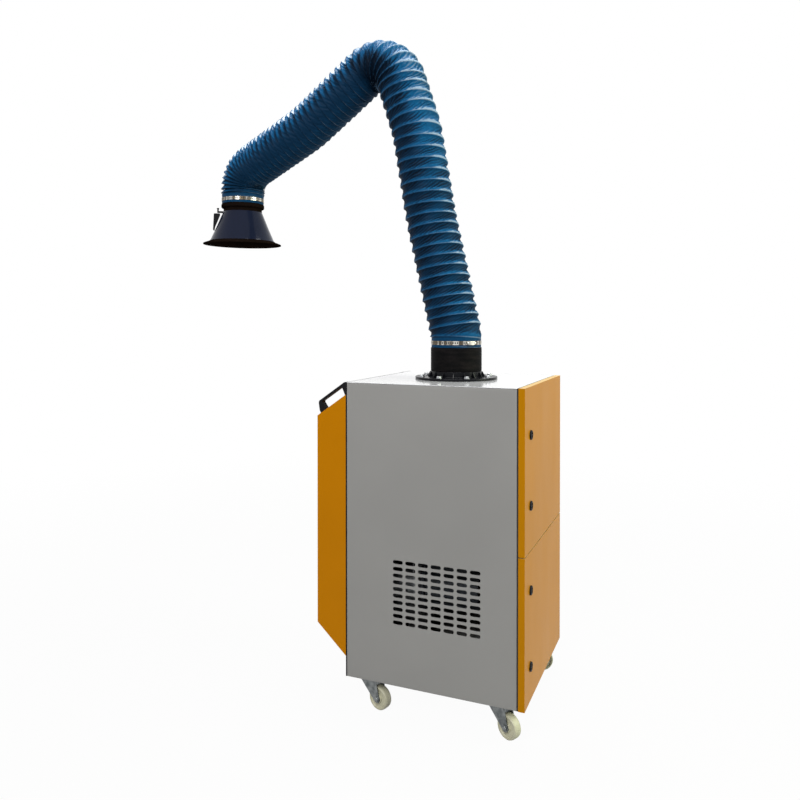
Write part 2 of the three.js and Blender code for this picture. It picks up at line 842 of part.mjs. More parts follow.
// Dust drawer on its rails
function dustDrawer() {
  const bottom = floorHeight + sheet + gap;
  const back = floorBack + drawerBackGap;
  const side = drawerHalfWidth;
  const tray = cut(
    block([back, drawerFront], [-side, side], [bottom, bottom + drawerHeight]),
    block([back + sheet, drawerFront - sheet], [-side + sheet, side - sheet],
      [bottom + sheet, bottom + drawerHeight + overrun]),
  );
  const pullHigh = bottom + drawerHeight;
  const half = drawerPullWidth / 2;
  const pull = join(
    block([drawerFront - sheet / 2, drawerFront + drawerPullReach], [-half, half], [pullHigh - sheet, pullHigh]),
    block([drawerFront + drawerPullReach - sheet, drawerFront + drawerPullReach], [-half, half],
      [pullHigh - drawerPullDepth, pullHigh]),
  );
  return join(tray, pull);
}
piece('dust_drawer', dustDrawer(), materials.innerSheet);

// Blower: spiral housing with its outlet, feet, and the plate that carries the motor
const scrollBack = tubeSheetX + sheet + scrollGap;
const scrollFront = scrollBack + scrollWidth;
function spiral(inset) {
  const points = [];
  for (let i = 0; i <= scrollSteps; i += 1) {
    const share = i / scrollSteps;
    const angle = rad(90 - scrollSweep * (1 - share));
    const radius = scrollStart + (scrollEnd - scrollStart) * share - inset;
    points.push([radius * Math.cos(angle), radius * Math.sin(angle)]);
  }
  return outline(points);
}

function blowerHousing() {
  const mouthLow = scrollEnd - outletHeight;
  const outer = join(
    prism('yz', spiral(0), [scrollBack, scrollFront]),
    block([scrollBack, scrollFront], [-outletReach, 0], [mouthLow, scrollEnd]),
  );
  const inner = join(
    prism('yz', spiral(sheet), [scrollBack + sheet, scrollFront - sheet]),
    block([scrollBack + sheet, scrollFront - sheet], [-outletReach - overrun, 0],
      [mouthLow + sheet, scrollEnd - sheet]),
  );
  const shell = cut(
    outer,
    inner,
    rod('x', inletRadius, [scrollBack - overrun, scrollBack + overrun], [0, 0], 16),
    rod('x', shaftHoleRadius, [scrollFront - overrun, scrollFront + overrun]),
  );
  const footTop = -scrollStart;
  const footX = scrollBack + footSetback;
  const floor = baseTop - fanAxisZ;
  const half = footWidth / 2;
  const foot = cut(
    block([footX, footX + footPlate], [-half, half], [floor, footTop]),
    spiralCore(footX),
  );
  return join(
    shell, foot,
    block([footX, footX + footBase], [-half, half], [floor, floor + footPlate]),
  ).translate(0, fanAxisY, fanAxisZ);
}

function spiralCore(x) {
  return prism('yz', spiral(sheet / 2), [x - overrun, x + footPlate + overrun]);
}
piece('blower_housing', blowerHousing(), materials.innerSheet);

// Inlet cone fixed to the tube sheet
function inletCone() {
  const profile = [
    [coneFlange, 0], [coneFlange, sheet], [coneMouth, sheet], [coneThroat + sheet, coneDepth],
    [coneThroat, coneDepth], [coneMouth - sheet, 0], [coneFlange, 0],
  ];
  const cone = turned(profile, 16).rotateY(Math.PI / 2);
  return cone.translate(tubeSheetX - gap - sheet, fanAxisY, fanAxisZ);
}
piece('inlet_cone', inletCone(), materials.innerSheet);

// Impeller with its shaft
const impellerBack = scrollFront - scrollGap;
const impellerFront = impellerBack - impellerWidth;
function impeller() {
  const blade = new THREE.Shape();
  const root = rad(-bladeSweep / 2);
  const tip = rad(bladeSweep / 2);
  const bladeTip = impellerRadius - impellerPlate;
  const middle = (bladeRoot + bladeTip) / 2;
  blade.moveTo(bladeRoot * Math.cos(root), bladeRoot * Math.sin(root));
  blade.quadraticCurveTo(middle, 0, bladeTip * Math.cos(tip), bladeTip * Math.sin(tip));
  blade.lineTo(bladeTip * Math.cos(tip), bladeTip * Math.sin(tip) + bladeThickness);
  blade.quadraticCurveTo(middle - bladeThickness, bladeThickness,
    bladeRoot * Math.cos(root), bladeRoot * Math.sin(root) + bladeThickness);
  const blades = Array.from({ length: bladeCount }, (_, i) => {
    const x = [impellerFront + impellerPlate / 2, impellerBack - impellerPlate / 2];
    return prism('yz', blade, x, 2).rotateX((i * 2 * Math.PI) / bladeCount);
  });
  const ring = cut(
    rod('x', impellerRadius, [impellerFront, impellerFront + impellerPlate], [0, 0], 16),
    rod('x', impellerEye, [impellerFront - overrun, impellerFront + overrun], [0, 0], 16),
  );
  return join(
    ...blades, ring,
    rod('x', impellerRadius, [impellerBack - impellerPlate, impellerBack], [0, 0], 16),
    rod('x', hubRadius, [impellerBack - hubLength, impellerBack], [0, 0], 12),
    rod('x', shaftRadius, [impellerBack - hubLength, scrollFront + motorBore - gap], [0, 0], 12),
  ).translate(0, fanAxisY, fanAxisZ);
}
piece('impeller', impeller(), materials.zinc);

// Finned motor, flanged to the blower's plate
function fanMotor() {
  const start = scrollFront + gap;
  const end = start + motorLength;
  const fins = [];
  for (let i = 0; i < motorFins; i += 1) {
    for (const [share, radius] of [[-0.3, motorRadius], [-0.18, motorRadius + motorFin],
      [0.18, motorRadius + motorFin], [0.3, motorRadius]]) {
      const angle = ((i + share) * 2 * Math.PI) / motorFins;
      fins.push([radius * Math.cos(angle), radius * Math.sin(angle)]);
    }
  }
  const [boxX, boxY, boxZ] = terminalBox;
  const boxStart = start + motorBell;
  const body = join(
    prism('yz', outline(fins), [start + motorBell / 2, end - motorCowl / 2]),
    rod('x', motorFlangeRadius, [start, start + motorFlange], [0, 0], 16),
    rod('x', motorRadius + motorFin / 2, [start, start + motorBell], [0, 0], 16),
    rod('x', motorRadius + motorFin, [end - motorCowl, end], [0, 0], 16),
    block([boxStart, boxStart + boxX], [-boxY / 2, boxY / 2], [motorRadius / 2, motorRadius + boxZ]),
  );
  const bore = rod('x', shaftRadius + inletSlack, [start - overrun, start + motorBore], [0, 0], 12);
  return cut(body, bore).translate(0, fanAxisY, fanAxisZ);
}
piece('fan_motor', fanMotor(), materials.motorPaint);

// Compressed air tank on saddles behind the cover
const tankX = coverBack - tankStandoff - tankRadius;
function airTank() {
  const half = tankLength / 2;
  const shell = turned([
    [0, -half], [tankRadius * 0.6, -half + tankDome / 4], [tankRadius, -half + tankDome],
    [tankRadius, half - tankDome], [tankRadius * 0.6, half - tankDome / 4], [0, half],
  ]).rotateX(Math.PI / 2);
  const saddles = [-1, 1].map((side) => {
    const y = side * (half - 2 * tankDome - saddleWidth / 2);
    return block([0, tankRadius + tankStandoff - gap], [y - saddleWidth / 2, y + saddleWidth / 2],
      [-saddleHeight / 2, saddleHeight / 2]);
  });
  return join(shell, ...saddles).translate(tankX, 0, tankAxisZ);
}
piece('air_tank', airTank(), materials.motorPaint);

// Diaphragm valve on the tank, and the blow pipe up to the filter's mouth
function pulseValve() {
  const foot = tankRadius + gap;
  const pipeFoot = foot + valveNeck + valveHeight / 2;
  const pipeTop = filterAxisZ - tankAxisZ;
  const reach = tubeSheetX - nozzleReach - tankX;
  const at = (x, z) => new THREE.Vector3(x, 0, z);
  const bend = new THREE.QuadraticBezierCurve3(
    at(0, pipeTop - blowBend), at(0, pipeTop), at(blowBend, pipeTop));
  const section = new THREE.Shape().absarc(0, 0, blowPipeRadius, 0, 2 * Math.PI);
  const elbow = new THREE.ExtrudeGeometry(section, { steps: 6, curveSegments: 6, extrudePath: bend });
  return join(
    elbow,
    rod('z', blowPipeRadius, [pipeFoot, pipeTop - blowBend + sheet], [0, 0], 12),
    rod('x', blowPipeRadius, [blowBend - sheet, reach], [0, pipeTop], 12),
    rod('z', valveNeckRadius, [foot, foot + valveNeck + sheet], [0, 0], 12),
    rod('z', valveRadius, [foot + valveNeck, foot + valveNeck + valveHeight]),
  ).translate(tankX, 0, tankAxisZ);
}
piece('pulse_valve', pulseValve(), materials.zinc);

// Control plate and controls, drawn flat on the sloping face
const slope = frameAt(group, slopeMiddle, [0, -slopeAngle, 0]);
const plateTop = gap + plateThickness;
function controlPlate() {
  const places = [controlPlaces.start, controlPlaces.stop].map((place) => place * buttonSpacing);
  const half = plateLength / 2;
  const plate = rectangle(-half, half, -plateWidth / 2, plateWidth / 2);
  const bezels = places.map((y) => rod('z', bezelRadius, [gap, plateTop + bezelHeight], [0, y]));
  const bores = places.map((y) =>
    rod('z', bezelBore, [plateTop, plateTop + bezelHeight + overrun], [0, y]));
  const stems = [...places, controlPlaces.switch * buttonSpacing].map((y) =>
    rod('z', buttonStemRadius + inletSlack, [-overrun, plateTop + overrun], [0, y], smallSides));
  const lens = turned([
    [0, gap], [lampRadius, gap], [lampRadius, plateTop + lampHeight / 2],
    [lampRadius / 2, plateTop + lampHeight], [0, plateTop + lampHeight],
  ], 12).translate(0, controlPlaces.lamp * buttonSpacing, 0);
  return cut(join(prism('xy', plate, [gap, plateTop]), lens, ...bezels), ...bores, ...stems);
}
piece('control_plate', controlPlate(), materials.innerSheet, slope);

function pushButton() {
  const low = plateTop + buttonTravel + gap;
  return join(
    rod('z', buttonRadius, [low, low + buttonHead]),
    rod('z', buttonStemRadius, [low - buttonStem, low + buttonHead / 2], [0, 0], smallSides),
  );
}
const startFrame = frameAt(slope, [0, controlPlaces.start * buttonSpacing, 0]);
const stopFrame = frameAt(slope, [0, controlPlaces.stop * buttonSpacing, 0]);
piece('start_button', pushButton(), materials.greenCap, startFrame);
piece('stop_button', pushButton(), materials.redCap, stopFrame);

function mainSwitch() {
  const base = plateTop + gap;
  const half = switchGripWidth / 2;
  return join(
    rod('z', switchRadius, [base, base + switchHeight]),
    block([-switchRadius, switchRadius], [-half, half], [base, base + switchHeight + switchGripHeight]),
    rod('z', buttonStemRadius, [-buttonStem / 2, base + switchHeight / 2], [0, 0], smallSides),
  );
}
const switchFrame = frameAt(slope, [0, controlPlaces.switch * buttonSpacing, 0]);
piece('main_switch', mainSwitch(), materials.blackPlastic, switchFrame);

// Moulded bridge handles near both ends of the sloping face
function bridgeHandle() {
  const under = handleHeight - handleBar;
  const slopeEnd = slopeRun / Math.cos(slopeAngle) / 2;
  const shape = outline([
    [-handleFoot, gap], [-handleFoot, handleHeel], [-handleShoulder, handleHeight],
    [handleTopReach, handleHeight], [handleTopReach + handleChamfer, handleHeight - handleChamfer],
    [slopeEnd - gap, gap], [handleTopFoot, gap],
    [handleTopFoot + handleBar, under - handleChamfer], [handleTopFoot + handleChamfer, under],
    [-handleLegInner + handleChamfer, under], [-handleLegInner, under - handleChamfer],
    [-handleLegInner, gap],
  ]);
  return prism('xz', shape, [-handleWidth / 2, handleWidth / 2]);
}
const handleY = halfDepth - handleInset;
piece('near_handle', bridgeHandle(), materials.blackPlastic, frameAt(slope, [0, -handleY, 0]));
piece('far_handle', bridgeHandle(), materials.blackPlastic, frameAt(slope, [0, handleY, 0]));

// Cable gland and compressed air nipple on the cover's lower slope
const lowerSlope = frameAt(group, lowerMiddle, [0, Math.PI + lowerAngle, 0]);
function cableGland() {
  const body = join(
    rod('z', glandRadius, [gap, gap + glandHex], [0, 0], 6),
    turned([
      [0, gap], [glandRadius * 0.8, gap], [glandRadius * 0.8, glandHex + glandDome / 2],
      [glandBore + sheet, glandHex + glandDome], [0, glandHex + glandDome],
    ], 12),
    rod('z', nippleRadius, [-glandDome / 2, glandHex], [0, 0], smallSides),
  );
  return cut(body, rod('z', glandBore, [-glandDome, glandHex + glandDome + overrun], [0, 0], smallSides));
}
piece('cable_gland', cableGland(), materials.blackPlastic, frameAt(lowerSlope, [0, glandPlace, 0]));

function airNipple() {
  const tip = nippleLength - nippleRadius;
  const body = join(
    rod('z', nippleRadius * 1.5, [gap, gap + glandHex], [0, 0], 6),
    turned([
      [0, -glandHex], [nippleRadius, -glandHex], [nippleRadius, tip / 2],
      [nippleRadius * 0.7, tip / 2 + sheet], [nippleRadius * 0.7, tip],
      [nippleRadius, tip + sheet], [nippleRadius * 0.8, nippleLength], [0, nippleLength],
    ], smallSides),
  );
  return cut(body, rod('z', nippleRadius / 2, [glandHex, nippleLength + overrun], [0, 0], 8));
}
piece('air_nipple', airNipple(), materials.steel, frameAt(lowerSlope, [0, nipplePlace, 0]));

// Castors: top plate with kingpin, swivelling fork with its axle, nylon wheel
const plateBottom = -gap - castorPlate;
const forkTop = plateBottom - gap;
const axleZ = -castorHeight + wheelRadius * Math.cos(Math.PI / wheelSides);
const forkInner = wheelWidth / 2 + forkClearance;

function castorTopPlate() {
  const plate = rectangle(-castorPlateX / 2, castorPlateX / 2,
    -castorPlateY / 2, castorPlateY / 2, raceHeight);
  return join(
    prism('xy', plate, [plateBottom, -gap], 1),
    rod('z', kingpinRadius, [plateBottom - kingpinLength, -gap - castorPlate / 2], [0, 0], 12),
  );
}

function castorFork() {
  const top = forkTop;
  const crownLow = top - raceHeight - forkThickness;
  const half = forkTopWidth / 2;
  const drop = axleZ - crownLow;
  const cheek = new THREE.Shape();
  cheek.moveTo(-half, 0).lineTo(half, 0);
  cheek.lineTo(trail + forkNose, drop);
  cheek.absarc(trail, drop, forkNose, 0, -Math.PI, true);
  cheek.lineTo(-half, -forkNose / 2);
  const cheeks = [[-forkInner - forkThickness, -forkInner], [forkInner, forkInner + forkThickness]]
    .map((y) => prism('xz', cheek, y, 3).translate(0, 0, crownLow + forkThickness / 2));
  const outerY = forkInner + forkThickness;
  const headY = outerY + axleHead;
  const body = join(
    ...cheeks,
    block([-half, half], [-outerY, outerY], [crownLow, crownLow + forkThickness]),
    rod('z', raceRadius, [crownLow + forkThickness / 2, top]),
    rod('y', axleRadius, [-headY, headY], [trail, axleZ], smallSides),
    rod('y', axleHeadRadius, [-headY, -outerY + sheet / 2], [trail, axleZ], 6),
    rod('y', axleHeadRadius, [outerY - sheet / 2, headY], [trail, axleZ], 6),
  );
  const race = rod('z', kingpinRadius + inletSlack, [crownLow - overrun, top + overrun], [0, 0], 12);
  return cut(body, race);
}

function castorWheel() {
  const half = wheelWidth / 2;
  const bore = axleRadius + wheelBoreGap;
  const rimInner = wheelRadius - wheelRim;
  const tyre = turned([
    [bore, -half], [wheelHubRadius, -half], [rimInner, -half + wheelDish],
    [wheelRadius, -half + wheelShoulder], [wheelRadius, half - wheelShoulder],
    [rimInner, half - wheelDish], [wheelHubRadius, half], [bore, half], [bore, -half],
  ], wheelSides);
  const levelled = tyre.rotateX(Math.PI / 2).rotateY(Math.PI / wheelSides);
  return levelled.translate(trail, 0, axleZ);
}

const castorPlaces = [[-castorX, -castorY], [castorX, -castorY], [castorX, castorY], [-castorX, castorY]];
castorPlaces.forEach(([x, y], i) => {
  const place = frameAt(group, [x, y, 0]);
  const swivel = frameAt(place, [0, 0, 0], [0, 0, rad(castorAngles[i])]);
  piece(`castor_plate_${i + 1}`, castorTopPlate(), materials.zinc, place);
  piece(`castor_fork_${i + 1}`, castorFork(), materials.zinc, swivel);
  piece(`castor_wheel_${i + 1}`, castorWheel(), materials.wheelNylon, swivel);
});

// Flange that bears the arm: disc, collar, gussets and bolt heads
const arm = frameAt(group, [0, 0, bodyHeight], [0, 0, rad(armAngle)]);
function armFlange() {
  const ringBore = sleeveBearingRadius + gap;
  const top = gap + flangeThickness;
  const collarTopZ = gap + flangeCollarHeight;
  const disc = turned([
    [ringBore, gap], [flangeRadius, gap], [flangeRadius, top], [flangeCollarRadius, top],
    [flangeCollarRadius, collarTopZ], [ringBore, collarTopZ], [ringBore, gap],
  ], wideSides);
  const gusset = outline([
    [flangeCollarRadius - sheet, top - sheet], [gussetReach, top - sheet],
    [flangeCollarRadius, collarTopZ], [flangeCollarRadius - sheet, collarTopZ],
  ]);
  const gussets = around(gussetCount, () =>
    prism('xz', gusset, [-gussetThickness / 2, gussetThickness / 2]));
  const bolts = around(boltCount, () =>
    rod('z', boltRadius, [top - sheet, top + boltHead], [boltCircle, 0], boltSides));
  return join(disc, ...gussets, ...bolts);
}
piece('arm_flange', armFlange(), materials.blackPlastic, frameAt(arm, [0, 0, 0]));

// Swivel sleeve with the bridge and cheeks of the shoulder joint
function jointCheeks(reach, width) {
  const inner = jointThickness / 2 + gap;
  return [-1, 1].flatMap((side) => {
    const y = side > 0 ? [inner, inner + cheekThickness] : [-inner - cheekThickness, -inner];
    return [
      rod('y', jointRadius, y),
      block([-width / 2, width / 2], y, [-reach, 0]),
    ];
  });
}

function jointPin() {
  const end = jointThickness / 2 + gap + cheekThickness + jointPinHead;
  return [
    rod('y', jointPinRadius, [-end, end], [0, 0], smallSides),
    rod('y', 2 * jointPinRadius, [-end, -end + jointPinHead + sheet / 2], [0, 0], 6),
    rod('y', 2 * jointPinRadius, [end - jointPinHead - sheet / 2, end], [0, 0], 6),
  ];
}

function swivelSleeve() {
  const bearingTop = gap + flangeCollarHeight + gap;
  const shell = turned([
    [sleeveBoreRadius, -sleeveTail], [retainerRadius, -sleeveTail],
    [retainerRadius, -sleeveTail + retainerHeight], [sleeveBearingRadius, -sleeveTail + retainerHeight],
    [sleeveBearingRadius, bearingTop], [sleeveRadius, bearingTop], [sleeveRadius, sleeveTop],
    [spigotRadius, sleeveTop], [spigotRadius, spigotTop], [sleeveBoreRadius, spigotTop],
    [sleeveBoreRadius, -sleeveTail],
  ], wideSides);
  const drop = jointRadius + sheet;
  const barLow = shoulderHeight - drop - bridgeThickness;
  const reach = sleeveBoreRadius + (spigotRadius - sleeveBoreRadius) / 2;
  const bridge = block([-bridgeWidth / 2, bridgeWidth / 2], [-reach, reach],
    [barLow, barLow + bridgeThickness]);
  const joint = [...jointCheeks(drop + sheet, bridgeWidth), ...jointPin()]
    .map((shape) => shape.translate(0, 0, shoulderHeight));
  return join(shell, bridge, ...joint);
}
piece('swivel_sleeve', swivelSleeve(), materials.blackPlastic, arm);

// Arm tubes: an eye at the lower end and a forked head at the upper end
function armTube(length) {
  const headStart = length - jointRadius - jointThickness;
  const headBlock = block([-armTubeRadius, armTubeRadius],
    [-jointThickness / 2 - gap - cheekThickness, jointThickness / 2 + gap + cheekThickness],
    [headStart - jointThickness, headStart]);
  const fork = [...jointCheeks(length - headStart + jointThickness / 2, 2 * armTubeRadius), ...jointPin()]
    .map((shape) => shape.translate(0, 0, length));
  const eyeNeck = jointRadius + jointThickness / 2;
  const body = join(
    rod('y', jointRadius - sheet, [-jointThickness / 2, jointThickness / 2]),
    block([-armTubeRadius, armTubeRadius], [-jointThickness / 2, jointThickness / 2], [0, eyeNeck]),
    rod('z', armTubeRadius, [eyeNeck - sheet, headStart], [0, 0], 12),
    headBlock, ...fork,
  );
  const thickness = [-jointThickness, jointThickness];
  const hole = rod('y', jointPinRadius + jointPinGap, thickness, [0, 0], smallSides);
  return cut(body, hole);
}
const lowerLean = rad(lowerArmLean);
const upperDip = rad(upperArmDip);
const lowerAxis = [Math.sin(lowerLean), Math.cos(lowerLean)];
const upperAxis = [Math.cos(upperDip), -Math.sin(upperDip)];
const shoulderAt = [0, shoulderHeight];
const elbowAt = [0, 1].map((i) => shoulderAt[i] + lowerArmLength * lowerAxis[i]);
const hoodAt = [0, 1].map((i) => elbowAt[i] + upperArmLength * upperAxis[i]);
const lowerFrame = frameAt(arm, [shoulderAt[0], 0, shoulderAt[1]], [0, lowerLean, 0]);
const upperFrame = frameAt(arm, [elbowAt[0], 0, elbowAt[1]], [0, Math.PI / 2 + upperDip, 0]);
piece('lower_arm', armTube(lowerArmLength), materials.zinc, lowerFrame);
piece('upper_arm', armTube(upperArmLength), materials.zinc, upperFrame);

// The hose's centre line: straight runs between corners, rounded by arcs
function besideArm(foot, axis, length, [along, aside]) {
  const side = [axis[1], -axis[0]];
  return [0, 1].map((i) =>
    foot[i] + along * length * axis[i] + aside * hoseCrest * side[i] * Math.sign(side[0]));
}
const hoodAxis = [Math.sin(rad(hoodLean)), -Math.cos(rad(hoodLean))];
const hoodEnd = [0, 1].map((i) => hoodAt[i] + hoseDrop * hoodAxis[i]);
const hoseCorners = [
  { at: [0, sleeveTop + gap], radius: 0 },
  { at: shoulderAt, radius: shoulderFillet },
  { at: besideArm(shoulderAt, lowerAxis, lowerArmLength, lowerBowShares), radius: lowerBowFillet },
  { at: besideArm(shoulderAt, lowerAxis, lowerArmLength, upperBowShares), radius: upperBowFillet },
  { at: besideArm(shoulderAt, lowerAxis, lowerArmLength, elbowShares), radius: elbowFillet },
  { at: besideArm(elbowAt, upperAxis, upperArmLength, sagShares), radius: sagFillet },
  { at: hoodAt, radius: hoodFillet },
  { at: hoodEnd, radius: 0 },
];

function roundedRoute(corners) {
  const route = new THREE.Path();
  const points = corners.map(({ at }) => new THREE.Vector2(...at));
  route.moveTo(points[0].x, points[0].y);
  for (let i = 1; i < corners.length - 1; i += 1) {
    const before = points[i].clone().sub(points[i - 1]).normalize();
    const after = points[i + 1].clone().sub(points[i]).normalize();
    const turn = Math.atan2(before.cross(after), before.dot(after));
    const reach = corners[i].radius * Math.tan(Math.abs(turn) / 2);
    const start = points[i].clone().addScaledVector(before, -reach);
    const left = new THREE.Vector2(-before.y, before.x).multiplyScalar(Math.sign(turn));
    const centre = start.clone().addScaledVector(left, corners[i].radius);
    const from = Math.atan2(start.y - centre.y, start.x - centre.x);
    route.lineTo(start.x, start.y);
    route.absarc(centre.x, centre.y, corners[i].radius, from, from + turn, turn < 0);
  }
  route.lineTo(points.at(-1).x, points.at(-1).y);
  return route;
}
const hoseRoute = roundedRoute(hoseCorners);
const hoseLength = hoseRoute.getLength();

// How far along the route it passes nearest to a point of the arm
function stationNear([r, z]) {
  const steps = 2000;
  let best = [Infinity, 0];
  for (let i = 0; i <= steps; i += 1) {
    const point = hoseRoute.getPoint(i / steps);
    const distance = Math.hypot(point.x - r, point.y - z);
    if (distance < best[0]) best = [distance, (i / steps) * hoseLength];
  }
  return best[1];
}
function alongArm(foot, axis, distance) {
  return [0, 1].map((i) => foot[i] + distance * axis[i]);
}
const hoseCuts = [
  0,
  stationNear(alongArm(shoulderAt, lowerAxis, shoulderClear)),
  stationNear(alongArm(shoulderAt, lowerAxis, lowerArmLength - elbowClearLower)),
  stationNear(alongArm(elbowAt, upperAxis, elbowClearUpper)),
  stationNear(alongArm(elbowAt, upperAxis, upperArmLength - hoodClear)),
  hoseLength,
];

// A length of ribbed hose with its bore, between two stations of the route
function hoseRing(station, radius) {
  const share = Math.min(Math.max(station / hoseLength, 0), 1);
  const centre = hoseRoute.getPoint(share);
  const heading = hoseRoute.getTangent(share);
  const across = new THREE.Vector2(-heading.y, heading.x);
  return Array.from({ length: hoseSides }, (_, i) => {
    const angle = (i * 2 * Math.PI) / hoseSides;
    const inPlane = radius * Math.cos(angle);
    return [centre.x + inPlane * across.x, radius * Math.sin(angle), centre.y + inPlane * across.y];
  });
}

function ribbedHose([from, to], ribs, [cuffStart, cuffEnd], boreRibs) {
  const rings = [];
  const start = from + cuffStart;
  const end = to - cuffEnd;
  if (cuffStart > 0) rings.push([from, hoseCuff], [start, hoseCuff]);
  const pitch = (end - start) / ribs;
  for (let i = 0; i < ribs; i += 1) {
    rings.push([start + (i + 0.5) * pitch, hoseCrest]);
    if (i < ribs - 1) rings.push([start + (i + 1) * pitch, hoseValley]);
  }
  if (cuffStart === 0) rings.unshift([from, hoseValley]);
  if (cuffEnd > 0) rings.push([end, hoseCuff], [to, hoseCuff]);
  else rings.push([to, hoseValley]);
  const boreStations = cuffEnd > 0 ? [to, end] : [to];
  for (let i = ribs - boreRibs; i > 0; i -= boreRibs) boreStations.push(start + i * pitch);
  if (cuffStart > 0) boreStations.push(start);
  boreStations.push(from);
  const loops = rings.map(([station, radius]) => hoseRing(station, radius));
  boreStations.forEach((station) => loops.push(hoseRing(station, hoseBore)));
  const positions = loops.flat(2);
  const index = [];
  loops.forEach((_, row) => {
    const next = (row + 1) % loops.length;
    for (let i = 0; i < hoseSides; i += 1) {
      const j = (i + 1) % hoseSides;
      const [a, b, c, d] = [row * hoseSides + i, row * hoseSides + j, next * hoseSides + i, next * hoseSides + j];
      index.push(a, c, b, b, c, d);
    }
  });
  const geometry = new THREE.BufferGeometry();
  geometry.setAttribute('position', new THREE.Float32BufferAttribute(positions, 3));
  geometry.setIndex(index);
  return geometry;
}

const hoseParts = [
  ['hose_base', ribCounts.base, [cuffLength, 0], 1],
  ['hose_lower', ribCounts.lower, [0, 0], straightBoreRibs],
  ['hose_elbow', ribCounts.elbow, [0, 0], bentBoreRibs],
  ['hose_upper', ribCounts.upper, [0, 0], straightBoreRibs],
  ['hose_neck', ribCounts.hood, [0, cuffLength], 1],
];
hoseParts.forEach(([name, ribs, cuffs, boreRibs], i) => {
  const span = [hoseCuts[i] + (i > 0 ? gap : 0), hoseCuts[i + 1]];
  piece(name, ribbedHose(span, ribs, cuffs, boreRibs), materials.hoseCloth, arm);
});

// Worm-drive clamps round the hose's cuffs
function bandClamp() {
  const inner = hoseCuff + gap;
  const outer = inner + bandThickness;
  const half = bandWidth / 2;
  const band = turned([[inner, -half], [outer, -half], [outer, half], [inner, half], [inner, -half]], hoseSides);
  const [length, depth, height] = screwBox;
  const housing = block([outer - bandThickness / 2, outer + depth], [-length / 2, length / 2],
    [-height / 2, height / 2]);
  const screw = rod('y', height / 3, [-length, length / 2], [outer + depth / 2, 0], 8);
  return join(band, housing, screw);
}
const baseBand = frameAt(arm, [0, 0, sleeveTop + bandCentre], [0, 0, rad(baseScrewAngle)]);
piece('base_clamp', bandClamp(), materials.steel, baseBand);

// Hood: its own frame hangs from the hood pivot, with +Z up along its axis
const hood = frameAt(arm, [hoodAt[0], 0, hoodAt[1]], [0, -rad(hoodLean), 0]);
const hoodInner = frameAt(hood, [0, 0, -hoodDrop]);
const hoodBand = frameAt(hoodInner, [0, 0, collarTop + bandCentre], [0, 0, rad(hoodScrewAngle)]);
piece('hood_clamp', bandClamp(), materials.steel, hoodBand);

function coneRadiusAt(height) {
  const share = (height - brimRise) / (coneTop - brimRise);
  return coneFoot + (neckRadius - coneFoot) * share;
}

function hoodShell() {
  const spigot = spigotRadius;
  const throat = neckRadius - hoodWall;
  const shell = turned([
    [rimRadius, 0], [rimRadius, rimLip], [coneFoot, brimRise], [neckRadius, coneTop], [neckRadius, collarBottom],
    [collarRadius, collarBottom + hoodWall], [collarRadius, collarTop - hoodWall],
    [spigot, collarTop], [spigot, hoodSpigotTop], [throat, hoodSpigotTop],
    [throat, coneTop], [coneFoot - hoodWall, brimRise], [rimRadius - hoodWall, 0], [rimRadius, 0],
  ], hoodSides);
  const barTop = hoodSpigotTop;
  const reach = (throat + spigot) / 2;
  const stemTop = hoodDrop;
  const half = armTubeRadius;
  const bracket = join(
    block([-half, half], [-reach, reach], [barTop - sheet, barTop + bridgeThickness - sheet]),
    block([-half, half], [-jointThickness / 2, jointThickness / 2], [barTop, stemTop]),
    rod('y', jointRadius - sheet, [-jointThickness / 2, jointThickness / 2], [0, stemTop]),
  );
  const thickness = [-jointThickness, jointThickness];
  const pinHole = rod('y', jointPinRadius + jointPinGap, thickness, [0, stemTop], smallSides);
  const shaftHole = rod('x', damperShaftRadius + jointPinGap, [0, rimRadius], [0, damperShaft], smallSides)
    .rotateZ(rad(gripTurn));
  return cut(join(shell, bracket), pinHole, shaftHole);
}
piece('hood', hoodShell(), materials.hoodPlastic, hoodInner);

// Wedge-shaped hood handle, turned from the side away from the cabinet towards its near side
const hoodGrip = frameAt(hoodInner, [0, 0, 0], [0, 0, rad(gripTurn)]);
function hoodHandle() {
  const foot = handleWedgeFoot;
  const top = handleWedgeTop;
  const innerAt = (z) => coneRadiusAt(z) + gap;
  const shape = outline([
    [innerAt(foot), foot], [handleWedgeOuter + hoodWall, foot + hoodWall], [handleWedgeOuter, top],
    [innerAt(top) + grooveFromCone, top], [innerAt(foot + 2 * grooveFromCone) + grooveFromCone / 2, foot + 2 * grooveFromCone],
  ]);
  return prism('xz', shape, [-handleWedgeThickness / 2, handleWedgeThickness / 2]);
}
piece('hood_handle', hoodHandle(), materials.blackPlastic, hoodGrip);

// Damper: a disc on a shaft across the neck, open, with its lever outside over the handle
function hoodDamper() {
  const discRadius = neckRadius - hoodWall - damperGap;
  const disc = rod('y', discRadius, [-damperThickness / 2, damperThickness / 2], [0, damperShaft], 16);
  return join(
    disc,
    rod('x', damperShaftRadius, [-discRadius / 2, leverReach + leverRadius], [0, damperShaft], smallSides),
    rod('z', leverRadius, [damperShaft, damperShaft + leverHeight], [leverReach, 0], smallSides),
  );
}
piece('hood_damper', hoodDamper(), materials.blackPlastic, hoodGrip);

// The origin goes to the bottom centre of the whole object's box
group.updateMatrixWorld(true);
const bounds = new THREE.Box3().setFromObject(group, true);
const middle = bounds.getCenter(new THREE.Vector3());
group.position.set(-middle.x, -middle.y, -bounds.min.z);
group.updateMatrixWorld(true);

